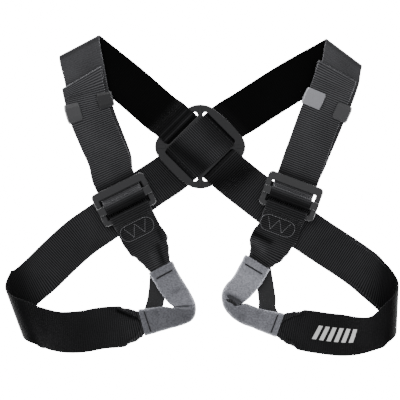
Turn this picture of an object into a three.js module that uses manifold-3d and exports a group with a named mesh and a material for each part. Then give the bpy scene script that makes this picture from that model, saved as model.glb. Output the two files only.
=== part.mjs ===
import * as THREE from 'three';
import { mergeVertices } from 'three/addons/utils/BufferGeometryUtils.js';
import Module from 'manifold-3d';

const wasm = await Module();
wasm.setup();

// A chest harness of two crossed webbing straps, laid face up: +X to its right, +Y to the shoulders.
// Millimetres and degrees. Plan places in the tables are shares of the two half extents.
const halfSpan = 204.5;
const halfHeight = 167.6;
const webbingWidth = 44;
const webbingThickness = 1.8;
const gap = 0.3;

// Straps
const shoulderSpread = 1.9;
const sewnReach = 42;
const hemReturn = 11;
const flapLength = 8.2;
const flapEdge = 0.8;
const creaseTurnShare = 0.3;
const leftBendRadius = 10;
const rightBendRadius = 8;
const leftHemDistance = 32;
const rightHemDistance = 20;
const hemToInnerKeeper = 19;
const hemToOuterKeeper = 23;
const pastRightHem = 7;

// Back plate
const plateAcross = 77;
const plateThickness = 3.2;
const plateSideRadius = 17;
const plateEndRadius = 25;
const plateBulge = 1.4;
const slotWidth = 5.6;
const slotDistance = 27.5;
const slotEndRoom = 2.6;
const ribWidth = 3;
const ribHeight = 0.9;
const ribLength = 9;

// Buckles, with distances along the strap from the middle of the buckle, positive towards the waist
const frameThickness = 3;
const frameTop = -21;
const frameBottom = 16;
const topBarWidth = 9;
const lowerBarWidth = 5.5;
const legWidth = 5.8;
const legRoom = 2.4;
const frameCornerRadius = 4.5;
const sliderWidth = 8.8;
const sliderPlace = -0.8;
const sliderTabHeight = 2.4;
const chamfer = 0.7;

// Eyes
const sleeveWall = 1.1;
const sleeveRoom = 0.3;
const sleeveCorner = 2;
const sleeveInnerCorner = 0.4;
const bridgeWidth = 18;
const bridgeThickness = 1.5;

// Keepers
const keeperWall = 2;
const keeperTop = 1.9;
const keeperUnder = 1.5;
const keeperRounding = 1.4;
const keeperLength = 18;
const keeperReach = 14.5;
const wideKeeperReach = 19;

// Heights and sizes that follow
const pitch = webbingThickness + gap;
const creaseArc = Math.PI * pitch / 2;
const seat = webbingThickness / 2 + gap;
const frameUnder = 3 * pitch;
const frameOver = frameUnder + frameThickness;
const frameInner = webbingWidth / 2 + legRoom;
const frameOuter = frameInner + legWidth;
const plateUnder = pitch;
const plateOver = plateUnder + plateThickness;
const foldedHalf = webbingWidth / 2 - creaseArc - flapLength;
const sleeveInnerHalf = foldedHalf + webbingThickness / 2 + sleeveRoom;
const sleeveInnerHeight = pitch + webbingThickness + 2 * sleeveRoom;
const sleeveHeight = sleeveInnerHeight + 2 * sleeveWall;
const sleeveLow = sleeveHeight / 2;
const sleeveMouth = bridgeThickness + gap + sleeveLow;
const tipRadius = sleeveHeight / 2 + gap;
const sleeveHigh = sleeveLow + 2 * tipRadius;

const level = (layers) => webbingThickness / 2 + layers * pitch;
const radians = (degrees) => degrees * Math.PI / 180;
const heading = (degrees) => new THREE.Vector3(Math.cos(radians(degrees)), Math.sin(radians(degrees)), 0);
const place = ({ x, y, z = 0 }) => new THREE.Vector3(x * halfSpan, y * halfHeight, z);

// Each side of the harness: the strap that starts at its buckle, eye and waist bend
const plateCentre = place({ x: -0.008, y: 0.299 });
const sides = {
  left: {
    buckle: { x: -0.392, y: -0.045, axis: -63.8 },
    upperTube: [
      { x: -0.279, y: -0.301, z: level(2), crease: 0 },
      { x: -0.249, y: -0.363, z: level(2), crease: 0.5 },
      { x: -0.215, y: -0.447, z: sleeveMouth, crease: 1, mouth: true },
      { x: -0.154, y: -0.553, z: sleeveMouth, crease: 1 },
      { x: -0.104, y: -0.634, z: sleeveLow + gap, crease: 1 },
    ],
    tip: { x: -0.054, y: -0.704, z: sleeveLow, heading: -50.3, line: 68.9, radius: tipRadius, rise: 1 },
    lowerTube: [
      { x: -0.127, y: -0.763, z: sleeveHigh, crease: 1 },
      { x: -0.191, y: -0.776, z: sleeveHigh - 0.4 * sleeveLow, crease: 1 },
      { x: -0.307, y: -0.799, z: sleeveMouth, crease: 1, mouth: true },
      { x: -0.358, y: -0.815, z: sleeveMouth - gap, crease: 0.6 },
      { x: -0.42, y: -0.826, z: level(1), crease: 0.12 },
      { x: -0.51, y: -0.836, z: level(0), crease: 0 },
      { x: -0.615, y: -0.858, z: level(0), rise: 0.07, crease: 0 },
      { x: -0.723, y: -0.857, z: level(0), rise: 0.32, crease: 0 },
      { x: -0.81, y: -0.826, z: level(0), rise: 0.72, crease: 0 },
    ],
    bend: { x: -0.886, y: -0.786, heading: 159, line: 110.2, radius: leftBendRadius, rise: -1 },
    back: [
      { x: -0.81, y: -0.482, z: level(0) },
      { x: -0.716, y: -0.37, z: level(0) },
      { x: -0.619, y: -0.266, z: level(0) },
      { x: -0.492, y: -0.158, z: level(0) },
      { x: -0.286, y: 0.031, z: level(0) },
    ],
    bridge: [
      { x: -0.22, y: -0.461, z: bridgeThickness / 2 },
      { x: -0.233, y: -0.642, z: bridgeThickness / 2 },
      { x: -0.25, y: -0.724, z: bridgeThickness / 2 },
      { x: -0.276, y: -0.799, z: bridgeThickness / 2 },
    ],
  },
  right: {
    buckle: { x: 0.453, y: -0.024, axis: -110.4 },
    upperTube: [
      { x: 0.358, y: -0.288, z: level(2), crease: 0 },
      { x: 0.329, y: -0.36, z: level(2), crease: 0.5 },
      { x: 0.29, y: -0.422, z: sleeveMouth, crease: 1, mouth: true },
      { x: 0.232, y: -0.536, z: sleeveMouth, crease: 1 },
      { x: 0.181, y: -0.598, z: sleeveLow + gap, crease: 1 },
    ],
    tip: { x: 0.134, y: -0.636, z: sleeveLow, heading: -136.2, line: 103.1, radius: tipRadius, rise: 1 },
    lowerTube: [
      { x: 0.202, y: -0.742, z: sleeveHigh, crease: 1 },
      { x: 0.258, y: -0.769, z: sleeveHigh - 0.3 * sleeveLow, crease: 1 },
      { x: 0.325, y: -0.791, z: sleeveMouth + 0.4 * sleeveLow, crease: 1 },
      { x: 0.398, y: -0.816, z: sleeveMouth, crease: 1, mouth: true },
      { x: 0.458, y: -0.833, z: sleeveMouth - gap, crease: 0.5 },
      { x: 0.515, y: -0.846, z: level(1), crease: 0.06 },
      { x: 0.602, y: -0.865, z: level(0), crease: 0 },
      { x: 0.694, y: -0.878, z: level(0), rise: 0.1, crease: 0 },
      { x: 0.797, y: -0.88, z: level(0), rise: 0.42, crease: 0 },
      { x: 0.879, y: -0.857, z: level(0), rise: 0.8, crease: 0 },
    ],
    bend: { x: 0.951, y: -0.791, heading: 42.3, line: 87.3, radius: rightBendRadius, rise: -1 },
    back: [
      { x: 0.843, y: -0.486, z: level(0) },
      { x: 0.761, y: -0.412, z: level(0) },
      { x: 0.659, y: -0.33, z: level(0) },
      { x: 0.534, y: -0.228, z: level(0) },
      { x: 0.345, y: -0.06, z: level(0) },
      { x: 0.204, y: 0.073, z: level(0) },
    ],
    bridge: [
      { x: 0.309, y: -0.448, z: bridgeThickness / 2 },
      { x: 0.335, y: -0.648, z: bridgeThickness / 2 },
      { x: 0.338, y: -0.724, z: bridgeThickness / 2 },
      { x: 0.366, y: -0.786, z: bridgeThickness / 2 },
    ],
  },
};

// Each shoulder: the way from the plate over the fold to the buckle, and the hem and keepers of its tail.
// Hem and keeper distances run down the front from the shoulder fold.
const shoulders = {
  left: {
    back: [
      { x: -0.211, y: 0.512, z: level(0) },
      { x: -0.361, y: 0.671, z: level(0) },
    ],
    fold: { x: -0.615, y: 0.921, z: level(0), heading: 140.1, line: 27.8, radius: pitch, rise: 1 },
    front: [
      { x: -0.606, y: 0.73, z: level(2), spread: 1 },
      { x: -0.579, y: 0.567, z: level(2), spread: 1 },
      { x: -0.557, y: 0.479, z: level(2), spread: 1 },
      { x: -0.515, y: 0.351, z: level(1.45), spread: 0.8 },
      { x: -0.471, y: 0.219, z: level(1.05), spread: 0.5 },
    ],
    hem: { distance: leftHemDistance, skew: 16 },
    keepers: {
      outer: { side: -1, from: leftHemDistance + hemToOuterKeeper, length: keeperLength, reach: keeperReach },
      inner: { side: 1, from: leftHemDistance + hemToInnerKeeper, length: keeperLength, reach: keeperReach },
    },
    tailShift: 1,
  },
  right: {
    back: [
      { x: 0.227, y: 0.524, z: level(0) },
      { x: 0.453, y: 0.699, z: level(0) },
    ],
    fold: { x: 0.717, y: 0.882, z: level(0), heading: 32, line: -36.9, radius: pitch, rise: 1 },
    front: [
      { x: 0.699, y: 0.752, z: level(2), spread: 1 },
      { x: 0.664, y: 0.627, z: level(2), spread: 1 },
      { x: 0.625, y: 0.517, z: level(2), spread: 1 },
      { x: 0.606, y: 0.461, z: level(1.95), spread: 1 },
      { x: 0.538, y: 0.247, z: level(1.1), spread: 0.5 },
    ],
    hem: { distance: rightHemDistance, skew: 0 },
    keepers: {
      outer: { side: 1, from: rightHemDistance + pastRightHem + hemToOuterKeeper - 2, length: keeperLength, reach: keeperReach },
      inner: { side: -1, from: rightHemDistance + pastRightHem + hemToInnerKeeper, length: keeperLength, reach: wideKeeperReach },
    },
    tailShift: 1,
  },
};

// Heights along the strap where it weaves through the plate: over the outer bars, or over the centre
const slotInner = slotDistance - slotWidth / 2;
const slotOuter = slotDistance + slotWidth / 2;
const besidePlate = plateAcross / 2 + 3;
const overPlate = plateOver + seat;
const underPlate = level(0);
const overBars = {
  heading: 138,
  slots: 135,
  corners: [
    { distance: besidePlate, z: overPlate, round: 0 },
    { distance: slotOuter - seat / 1.5, z: overPlate, round: 2 },
    { distance: slotInner + seat / 1.5, z: underPlate, round: 2 },
  ],
};
const overCentre = {
  heading: 42,
  slots: 45,
  corners: [
    { distance: slotOuter + 4, z: underPlate, round: 0 },
    { distance: slotOuter - seat / 1.5, z: underPlate, round: 2 },
    { distance: slotInner + seat / 1.5, z: overPlate, round: 2 },
  ],
};

// Heights along a buckle's axis: the sewn end round the lower bar, and the roll round the slider
const loopUnder = frameUnder - seat;
const loopOver = frameOver + seat;
const loopTurn = frameBottom - lowerBarWidth - seat;
const sewnLoop = [
  { distance: sewnReach, z: level(1), round: 0 },
  { distance: frameBottom + 9, z: level(1), round: 8 },
  { distance: frameBottom + 3, z: loopUnder, round: 6 },
  { distance: loopTurn, z: loopUnder, round: 2.2 },
  { distance: loopTurn, z: loopOver, round: 2.2 },
  { distance: frameBottom + 1.5, z: loopOver, round: 6 },
  { distance: frameBottom + 11, z: level(2), round: 8 },
  { distance: frameBottom + 20, z: level(2), round: 0 },
];
const rollFront = sliderPlace + sliderWidth / 2 + seat;
const rollBack = sliderPlace - sliderWidth / 2 - seat;
const rollEntry = frameTop - 4;
const buckleRoll = [
  { distance: rollEntry, z: level(1), round: 0 },
  { distance: rollFront, z: level(1), round: 2.6 },
  { distance: rollFront, z: loopOver, round: 2.2 },
  { distance: rollBack, z: loopOver, round: 2.2 },
  { distance: rollBack, z: level(3), round: 2.2 },
  { distance: frameTop + topBarWidth + seat, z: level(2), round: 2 },
  { distance: rollEntry, z: level(2), round: 0 },
];

const stepsPerSpan = 5;
const foldSteps = 8;
const arcSteps = 3;
const settleLength = 1.1 * webbingWidth;
const straightness = 0.14;

function smooth(value) {
  const share = Math.min(1, Math.max(0, value));
  return share * share * (3 - 2 * share);
}

function rightOf(direction, face) {
  return new THREE.Vector3(direction.y, -direction.x, 0).normalize().multiplyScalar(face);
}

function stretchOf(direction, across) {
  return 1 / Math.abs(direction.x * across.y - direction.y * across.x);
}

// A smooth run across the floor between two ends, each with its own heading and ruling.
// face is +1 where the strap's own face looks up, -1 where it looks down.
function run(start, rows, end, face) {
  const stops = [start, ...rows.map((row) => ({ ...row, at: place(row) })), end];
  const lead = stops[1].at.distanceTo(start.at);
  const trail = end.at.distanceTo(stops[stops.length - 2].at);
  const before = stops[1].at.clone().addScaledVector(start.direction, -2 * lead);
  const after = stops[stops.length - 2].at.clone().addScaledVector(end.direction, 2 * trail);
  const curve = new THREE.CatmullRomCurve3([before, ...stops.map((stop) => stop.at), after], false, 'centripetal');
  const stations = [];
  for (let span = 0; span < stops.length - 1; span++) {
    for (let step = 0; step < stepsPerSpan; step++) {
      stations.push(runStation(curve, stops, span, step / stepsPerSpan, face));
    }
  }
  stations.push(runStation(curve, stops, stops.length - 2, 1, face));
  settle(stations, start.across);
  settle([...stations].reverse(), end.across);
  for (const station of stations) {
    station.stretch = stretchOf(station.direction, station.across);
  }
  return stations;
}

function runStation(curve, stops, span, share, face) {
  const parameter = (1 + span + share) / (stops.length + 1);
  const direction = curve.getTangent(parameter).setZ(0).normalize();
  const blend = (name) => {
    const first = stops[span][name] ?? 0;
    const second = stops[span + 1][name] ?? 0;
    return first + (second - first) * smooth(share);
  };
  const onStop = share === 0 ? stops[span] : stops[span + 1];
  const at = curve.getPoint(parameter);
  at.z = Math.max(at.z, Math.min(stops[span].at.z, stops[span + 1].at.z));
  return {
    at,
    direction,
    across: rightOf(direction, face),
    crease: blend('crease'),
    spread: blend('spread'),
    mouth: (share === 0 || share === 1) && onStop.mouth === true,
  };
}

// Rulings turn gradually from the given line at the first station to square across the strap
function settle(stations, across) {
  for (const station of stations) {
    const near = 1 - smooth(station.at.distanceTo(stations[0].at) / settleLength);
    station.across = station.across.clone().lerp(across, near).normalize();
  }
}

// The strap turns over a line at an angle to it, round a half cylinder that lies along that line
function foldOver(entry, { line, radius, rise }, face) {
  const square = rightOf(entry.direction, face);
  const along = heading(line);
  if (along.dot(square) < 0) {
    along.negate();
  }
  const slide = entry.direction.dot(along);
  const out = entry.direction.clone().addScaledVector(along, -slide);
  const pace = out.length();
  out.normalize();
  const stations = [];
  for (let step = 0; step <= foldSteps; step++) {
    const angle = Math.PI * step / foldSteps;
    const at = entry.at.clone();
    at.addScaledVector(along, radius * angle * slide / pace);
    at.addScaledVector(out, radius * Math.sin(angle));
    at.z += rise * radius * (1 - Math.cos(angle));
    stations.push({ at, across: along.clone(), stretch: 1 / pace, crease: entry.crease ?? 0, spread: 0 });
  }
  const direction = along.clone().multiplyScalar(slide).addScaledVector(out, -pace);
  const exit = { at: stations[foldSteps].at, direction, across: along, crease: entry.crease };
  return { stations, exit, entry: { ...entry, across: along } };
}

// A strap that stays in one vertical plane: distances and heights with rounded corners
function throughProfile({ origin, direction, across }, corners) {
  const advance = 1 / stretchOf(direction, across);
  const points = roundedProfile(corners);
  return points.map(({ distance, z }) => ({
    at: origin.clone().addScaledVector(direction, distance / advance).setZ(z),
    across: across.clone(),
    stretch: 1 / advance,
    crease: 0,
    spread: 0,
  }));
}

function roundedProfile(corners) {
  const flat = corners.map(({ distance, z }) => new THREE.Vector2(distance, z));
  const points = [];
  corners.forEach(({ round }, index) => {
    if (round === 0) {
      points.push(flat[index]);
      return;
    }
    const back = flat[index - 1].clone().sub(flat[index]).normalize();
    const ahead = flat[index + 1].clone().sub(flat[index]).normalize();
    const halfAngle = Math.acos(Math.max(-1, Math.min(1, back.dot(ahead)))) / 2;
    const room = round / Math.tan(halfAngle);
    const centre = back.clone().add(ahead).normalize().multiplyScalar(round / Math.sin(halfAngle)).add(flat[index]);
    const first = back.clone().multiplyScalar(room).add(flat[index]).sub(centre);
    const last = ahead.clone().multiplyScalar(room).add(flat[index]).sub(centre);
    const turn = Math.atan2(first.cross(last), first.dot(last));
    const steps = Math.max(2, Math.ceil(Math.abs(turn) / (Math.PI / 2) * arcSteps));
    for (let step = 0; step <= steps; step++) {
      points.push(first.clone().rotateAround(new THREE.Vector2(), turn * step / steps).add(centre));
    }
  });
  return points.map((point) => ({ distance: point.x, z: point.y }));
}

function buckleFrameOf({ buckle }) {
  const direction = heading(buckle.axis);
  return { origin: place(buckle), direction, across: rightOf(direction, 1) };
}

function buckleEnd(frame, distance, z) {
  const at = frame.origin.clone().addScaledVector(frame.direction, distance).setZ(z);
  return { at, direction: frame.direction, across: frame.across };
}

// Distances travelled over the floor, from the first station
function travelled(stations) {
  let total = 0;
  return stations.map((station, index) => {
    if (index > 0) {
      total += station.at.distanceTo(stations[index - 1].at);
    }
    return total;
  });
}

function stationAt(stations, lengths, distance) {
  const next = Math.max(1, lengths.findIndex((length) => length >= distance));
  const share = (distance - lengths[next - 1]) / (lengths[next] - lengths[next - 1]);
  const first = stations[next - 1];
  const second = stations[next];
  return {
    ...first,
    at: first.at.clone().lerp(second.at, share),
    across: first.across.clone().lerp(second.across, share).normalize(),
    direction: first.direction.clone().lerp(second.direction, share).normalize(),
    stretch: first.stretch + (second.stretch - first.stretch) * share,
    spread: first.spread + (second.spread - first.spread) * share,
  };
}

function stretchBetween(stations, from, to) {
  const lengths = travelled(stations);
  const inside = stations.filter((_, index) => lengths[index] > from && lengths[index] < to);
  return [stationAt(stations, lengths, from), ...inside, stationAt(stations, lengths, to)];
}

function moved(station, aside, up) {
  const at = station.at.clone().addScaledVector(station.across, aside);
  at.z += up;
  return { ...station, at };
}

// The tail lies on the front strap, rises near its end and folds under itself as a hem
function tailStations(front, { hem, tailShift }) {
  const lengths = travelled(front);
  const total = lengths[lengths.length - 1];
  const kept = stretchBetween(front, hem.distance, total);
  const left = travelled(kept);
  const skewed = kept.map((station, index) => {
    const near = 1 - smooth(left[index] / (2.2 * hemReturn));
    const up = pitch + pitch * (1 - smooth((left[index] - hemReturn - 1) / 5));
    const across = station.across.clone().applyAxisAngle(new THREE.Vector3(0, 0, 1), radians(hem.skew) * near);
    const stretch = stretchOf(station.direction, across);
    return moved({ ...station, across, stretch }, -tailShift * shoulderSpread * station.spread, up);
  });
  skewed.reverse();
  const end = skewed[skewed.length - 1];
  const line = THREE.MathUtils.radToDeg(Math.atan2(end.across.y, end.across.x));
  const entry = { at: end.at, direction: end.direction.clone().negate() };
  const hemFold = foldOver(entry, { line, radius: pitch / 2, rise: -1 }, 1);
  const last = hemFold.exit;
  const tip = { ...hemFold.stations[foldSteps], at: last.at.clone().addScaledVector(last.direction, hemReturn) };
  return [...skewed, ...hemFold.stations.slice(1), tip];
}

// One whole strap, from its sewn end at one buckle to its tail at the other
function strapStations(side, shoulder, otherSide, crossing) {
  const startFrame = buckleFrameOf(side);
  const endFrame = buckleFrameOf(otherSide);
  const loop = throughProfile(startFrame, sewnLoop);
  const loopEnd = buckleEnd(startFrame, sewnLoop[sewnLoop.length - 1].distance, level(2));

  const tipEntry = { at: place(side.tip), direction: heading(side.tip.heading), crease: 1 };
  const tip = foldOver(tipEntry, side.tip, 1);
  const upper = run(loopEnd, side.upperTube, tip.entry, 1);

  const bendTop = level(0) + 2 * side.bend.radius;
  const bendEntry = { at: place({ ...side.bend, z: bendTop }), direction: heading(side.bend.heading) };
  const bend = foldOver(bendEntry, side.bend, -1);
  const lowerRows = side.lowerTube.map((row) => ({ ...row, z: row.z + 2 * side.bend.radius * (row.rise ?? 0) }));
  const lower = run(tip.exit, lowerRows, bend.entry, -1);

  const direction = heading(crossing.heading);
  const slotLine = rightOf(heading(crossing.slots), 1);
  const plateFrame = { origin: plateCentre, direction, across: slotLine };
  const arriving = crossing.corners.map((row) => ({ ...row, distance: -row.distance }));
  const plate = throughProfile(plateFrame, [...arriving, ...[...crossing.corners].reverse()]);
  const plateStart = { at: plate[0].at, direction, across: slotLine };
  const plateEnd = { at: plate[plate.length - 1].at, direction, across: slotLine };
  const back = run(bend.exit, side.back, plateStart, 1);

  const foldEntry = { at: place(shoulder.fold), direction: heading(shoulder.fold.heading) };
  const fold = foldOver(foldEntry, shoulder.fold, 1);
  const rising = run(plateEnd, shoulder.back, fold.entry, 1);

  const rollStart = buckleEnd(endFrame, rollEntry, level(1));
  rollStart.across = endFrame.across.clone().negate();
  const front = run(fold.exit, shoulder.front, rollStart, -1);
  const main = front.map((station) => moved(station, shoulder.tailShift * shoulderSpread * station.spread, 0));
  const roll = throughProfile({ ...endFrame, across: rollStart.across }, buckleRoll);
  const tail = tailStations(front, shoulder);

  const stations = [loop, upper, tip.stations, lower, bend.stations, back, plate, rising, fold.stations, main];
  stations.push(roll, tail);
  const eye = [...upper, ...tip.stations, ...lower];
  return { stations: separated(stations.flat()), eye: separated(eye), front };
}

function separated(stations) {
  return stations.filter((station, index) => index === 0 || station.at.distanceTo(stations[index - 1].at) > 0.05);
}

// The outward normal of every station, from the way the strap travels through it
function withNormals(stations) {
  return stations.map((station, index) => {
    const travel = new THREE.Vector3();
    if (index > 0) {
      travel.add(station.at.clone().sub(stations[index - 1].at).normalize());
    }
    if (index < stations.length - 1) {
      travel.add(stations[index + 1].at.clone().sub(station.at).normalize());
    }
    const normal = station.across.clone().cross(travel).normalize();
    return { ...station, normal };
  });
}

// Stations that lie on the straight line between their neighbours are left out
function thinned(stations) {
  const kept = [stations[0]];
  let from = 0;
  while (from < stations.length - 1) {
    let to = from + 1;
    while (to + 1 < stations.length && isStraight(stations, from, to + 1)) {
      to++;
    }
    kept.push(stations[to]);
    from = to;
  }
  return kept;
}

function isStraight(stations, from, to) {
  const first = stations[from];
  const last = stations[to];
  const lengths = travelled(stations.slice(from, to + 1));
  const total = lengths[lengths.length - 1];
  for (let index = from + 1; index < to; index++) {
    const share = lengths[index - from] / total;
    const station = stations[index];
    for (const reach of [-webbingWidth / 2, webbingWidth / 2]) {
      const wanted = edgePoint(first, reach).lerp(edgePoint(last, reach), share);
      if (wanted.distanceTo(edgePoint(station, reach)) > straightness) {
        return false;
      }
    }
    const crease = first.crease + (last.crease - first.crease) * share;
    if (Math.abs(crease - station.crease) > 0.03) {
      return false;
    }
  }
  return true;
}

function edgePoint(station, reach) {
  return station.at.clone().addScaledVector(station.across, reach * station.stretch);
}

// The strap's section as a bent line: each edge turns back under the middle as the crease goes to 1
function strapLine(crease) {
  if (crease < 0.01) {
    return plainLine(webbingWidth);
  }
  const flap = flapEdge + (flapLength - flapEdge) * crease;
  const flat = webbingWidth / 2 - creaseArc - flap;
  const turn = Math.PI * smooth(crease / creaseTurnShare);
  const bend = turn < 0.01 ? 1 : 2 * Math.sin(turn / 2) / turn;
  const reach = flat + creaseArc * bend * Math.cos(turn / 2);
  const drop = creaseArc * bend * Math.sin(turn / 2);
  const lift = drop / 2 * smooth(crease);
  const half = [
    new THREE.Vector2(flat, lift),
    new THREE.Vector2(reach, lift - drop),
    new THREE.Vector2(reach + flap * Math.cos(turn), lift - drop - flap * Math.sin(turn)),
  ];
  const mirrored = half.map((point) => new THREE.Vector2(-point.x, point.y)).reverse();
  return [...mirrored, ...half];
}

function plainLine(width) {
  return [new THREE.Vector2(-width / 2, 0), new THREE.Vector2(width / 2, 0)];
}

// Offsets a bent line to both sides by half the thickness
function thickened(line, thickness) {
  return line.map((point, index) => {
    const directions = [];
    if (index > 0) {
      directions.push(point.clone().sub(line[index - 1]).normalize());
    }
    if (index < line.length - 1) {
      directions.push(line[index + 1].clone().sub(point).normalize());
    }
    const mean = directions.reduce((sum, direction) => sum.add(direction), new THREE.Vector2()).normalize();
    const normal = new THREE.Vector2(-mean.y, mean.x);
    const offset = thickness / 2 / mean.dot(directions[0]);
    return [point.clone().addScaledVector(normal, offset), point.clone().addScaledVector(normal, -offset)];
  });
}

function onStation(station, point) {
  const at = station.at.clone().addScaledVector(station.across, point.x * station.stretch);
  return at.addScaledVector(station.normal, point.y);
}

class MeshBuilder {
  constructor() {
    this.positions = [];
    this.indices = [];
  }

  addRow(points) {
    const first = this.positions.length / 3;
    for (const point of points) {
      this.positions.push(point.x, point.y, point.z);
    }
    return points.map((_, index) => first + index);
  }

  addQuad(a, b, c, d) {
    this.indices.push(a, b, c, a, c, d);
  }

  // Joins an open row of two points to one of any even count, or two rows of one count
  addSpan(first, second) {
    if (first.length === second.length) {
      this.addStrip(first, second);
      return;
    }
    const [few, many, flip] = first.length < second.length ? [first, second, false] : [second, first, true];
    const half = many.length / 2;
    const faces = [[few[0], few[1], many[half - 1]], [few[1], many[half], many[half - 1]]];
    for (let index = 1; index < half; index++) {
      faces.push([few[0], many[index], many[index - 1]]);
      faces.push([few[1], many[half + index], many[half + index - 1]]);
    }
    for (const [a, b, c] of faces) {
      this.indices.push(a, flip ? c : b, flip ? b : c);
    }
  }

  // Joins two rows of as many points by a strip, the rows open or closed
  addStrip(first, second, closed = false) {
    const count = closed ? first.length : first.length - 1;
    for (let index = 0; index < count; index++) {
      const next = (index + 1) % first.length;
      this.addQuad(first[index], first[next], second[next], second[index]);
    }
  }

  toGeometry() {
    const geometry = new THREE.BufferGeometry();
    geometry.setAttribute('position', new THREE.Float32BufferAttribute(this.positions, 3));
    geometry.setIndex(this.indices);
    return facingOut(geometry);
  }
}

function facingOut(geometry) {
  const position = geometry.getAttribute('position');
  const index = geometry.getIndex();
  const corner = [new THREE.Vector3(), new THREE.Vector3(), new THREE.Vector3()];
  let volume = 0;
  for (let face = 0; face < index.count; face += 3) {
    corner.forEach((point, k) => point.fromBufferAttribute(position, index.getX(face + k)));
    volume += corner[0].dot(corner[1].cross(corner[2]));
  }
  if (volume < 0) {
    for (let face = 0; face < index.count; face += 3) {
      const second = index.getX(face + 1);
      index.setX(face + 1, index.getX(face + 2));
      index.setX(face + 2, second);
    }
  }
  geometry.computeVertexNormals();
  return geometry;
}

// A strip of cloth with real thickness along its stations
function ribbonGeometry(stations, lineOf, thickness) {
  const builder = new MeshBuilder();
  const rows = thinned(stations).map((station) => {
    const pairs = thickened(lineOf(station), thickness);
    const top = builder.addRow(pairs.map(([above]) => onStation(station, above)));
    const bottom = builder.addRow(pairs.map(([, below]) => onStation(station, below)));
    return { top, bottom };
  });
  for (let index = 1; index < rows.length; index++) {
    const { top, bottom } = rows[index - 1];
    const next = rows[index];
    builder.addSpan(top, next.top);
    builder.addSpan([...bottom].reverse(), [...next.bottom].reverse());
    builder.addQuad(bottom[0], top[0], next.top[0], next.bottom[0]);
    builder.addQuad(top.at(-1), bottom.at(-1), next.bottom.at(-1), next.top.at(-1));
  }
  const last = rows[rows.length - 1];
  builder.addStrip(rows[0].bottom, rows[0].top);
  builder.addStrip(last.top, last.bottom);
  return builder.toGeometry();
}

function roundedRing(halfWidth, halfHeightOfRing, corner) {
  const points = [];
  const arcs = [[1, 1], [-1, 1], [-1, -1], [1, -1]];
  arcs.forEach(([sideX, sideY], quarter) => {
    for (const share of [0, 0.5, 1]) {
      const angle = Math.PI / 2 * (quarter + share);
      const x = sideX * (halfWidth - corner) + corner * Math.cos(angle);
      const y = sideY * (halfHeightOfRing - corner) + corner * Math.sin(angle);
      points.push(new THREE.Vector2(x, y));
    }
  });
  return points;
}

// The sleeve: a flat tube, open at both mouths
function sleeveGeometry(stations) {
  const builder = new MeshBuilder();
  const outer = roundedRing(sleeveInnerHalf + sleeveWall, sleeveHeight / 2, sleeveCorner);
  const inner = roundedRing(sleeveInnerHalf, sleeveInnerHeight / 2, sleeveInnerCorner);
  const rows = thinned(stations).map((station) => ({
    outer: builder.addRow(outer.map((point) => onStation(station, point))),
    inner: builder.addRow(inner.map((point) => onStation(station, point))),
  }));
  for (let index = 1; index < rows.length; index++) {
    builder.addStrip(rows[index - 1].outer, rows[index].outer, true);
    builder.addStrip(rows[index].inner, rows[index - 1].inner, true);
  }
  const last = rows[rows.length - 1];
  builder.addStrip(rows[0].inner, rows[0].outer, true);
  builder.addStrip(last.outer, last.inner, true);
  return builder.toGeometry();
}

// A keeper: a C that grips one edge of the front strap and the tail on it
function keeperGeometry(stations, keeper) {
  const builder = new MeshBuilder();
  const lengths = travelled(stations);
  const total = lengths[lengths.length - 1];
  const rows = stations.map((station, index) => {
    const fromEnd = Math.min(lengths[index], total - lengths[index]);
    const inset = keeperRounding * (1 - smooth(fromEnd / (2 * keeperRounding))) * 0.7;
    const section = keeperSection(keeper, inset);
    return builder.addRow(section.map((point) => onStation(station, point)));
  });
  for (let index = 1; index < rows.length; index++) {
    builder.addStrip(rows[index - 1], rows[index], true);
  }
  const caps = THREE.ShapeUtils.triangulateShape(keeperSection(keeper, 0), []);
  for (const [a, b, c] of caps) {
    builder.indices.push(rows[0][a], rows[0][c], rows[0][b]);
    builder.indices.push(rows[rows.length - 1][a], rows[rows.length - 1][b], rows[rows.length - 1][c]);
  }
  return builder.toGeometry();
}

function keeperSection({ side, reach }, inset) {
  const edge = webbingWidth / 2 + shoulderSpread + gap;
  const outside = edge + keeperWall - inset;
  const inside = webbingWidth / 2 + shoulderSpread - reach + inset;
  const floor = -webbingThickness / 2 - gap;
  const roof = pitch + webbingThickness / 2 + gap;
  const bottom = floor - keeperUnder + inset;
  const top = roof + keeperTop - inset;
  const round = keeperRounding;
  const corners = [
    [inside, bottom], [outside - round, bottom], [outside, bottom + round / 2],
    [outside, top - round], [outside - round, top], [inside + round / 2, top],
    [inside, top - round / 2], [inside, roof], [edge, roof], [edge, floor], [inside, floor],
  ];
  const section = corners.map(([x, y]) => new THREE.Vector2(side * x, -y));
  return THREE.ShapeUtils.isClockWise(section) ? section.reverse() : section;
}

// Plates and bars cut from a flat outline, their edges chamfered within the outline
function plateGeometry(shape, thickness) {
  const geometry = new THREE.ExtrudeGeometry(shape, {
    depth: thickness - 2 * chamfer,
    bevelEnabled: true,
    bevelThickness: chamfer,
    bevelSize: chamfer,
    bevelOffset: -chamfer,
    bevelSegments: 1,
    curveSegments: 3,
  });
  geometry.translate(0, 0, chamfer);
  return geometry;
}

function roundedRectangle(path, left, bottom, right, top, radius) {
  path.moveTo(left + radius, bottom);
  path.lineTo(right - radius, bottom);
  path.absarc(right - radius, bottom + radius, radius, -Math.PI / 2, 0, false);
  path.lineTo(right, top - radius);
  path.absarc(right - radius, top - radius, radius, 0, Math.PI / 2, false);
  path.lineTo(left + radius, top);
  path.absarc(left + radius, top - radius, radius, Math.PI / 2, Math.PI, false);
  path.lineTo(left, bottom + radius);
  path.absarc(left + radius, bottom + radius, radius, Math.PI, 3 * Math.PI / 2, false);
  return path;
}

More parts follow.
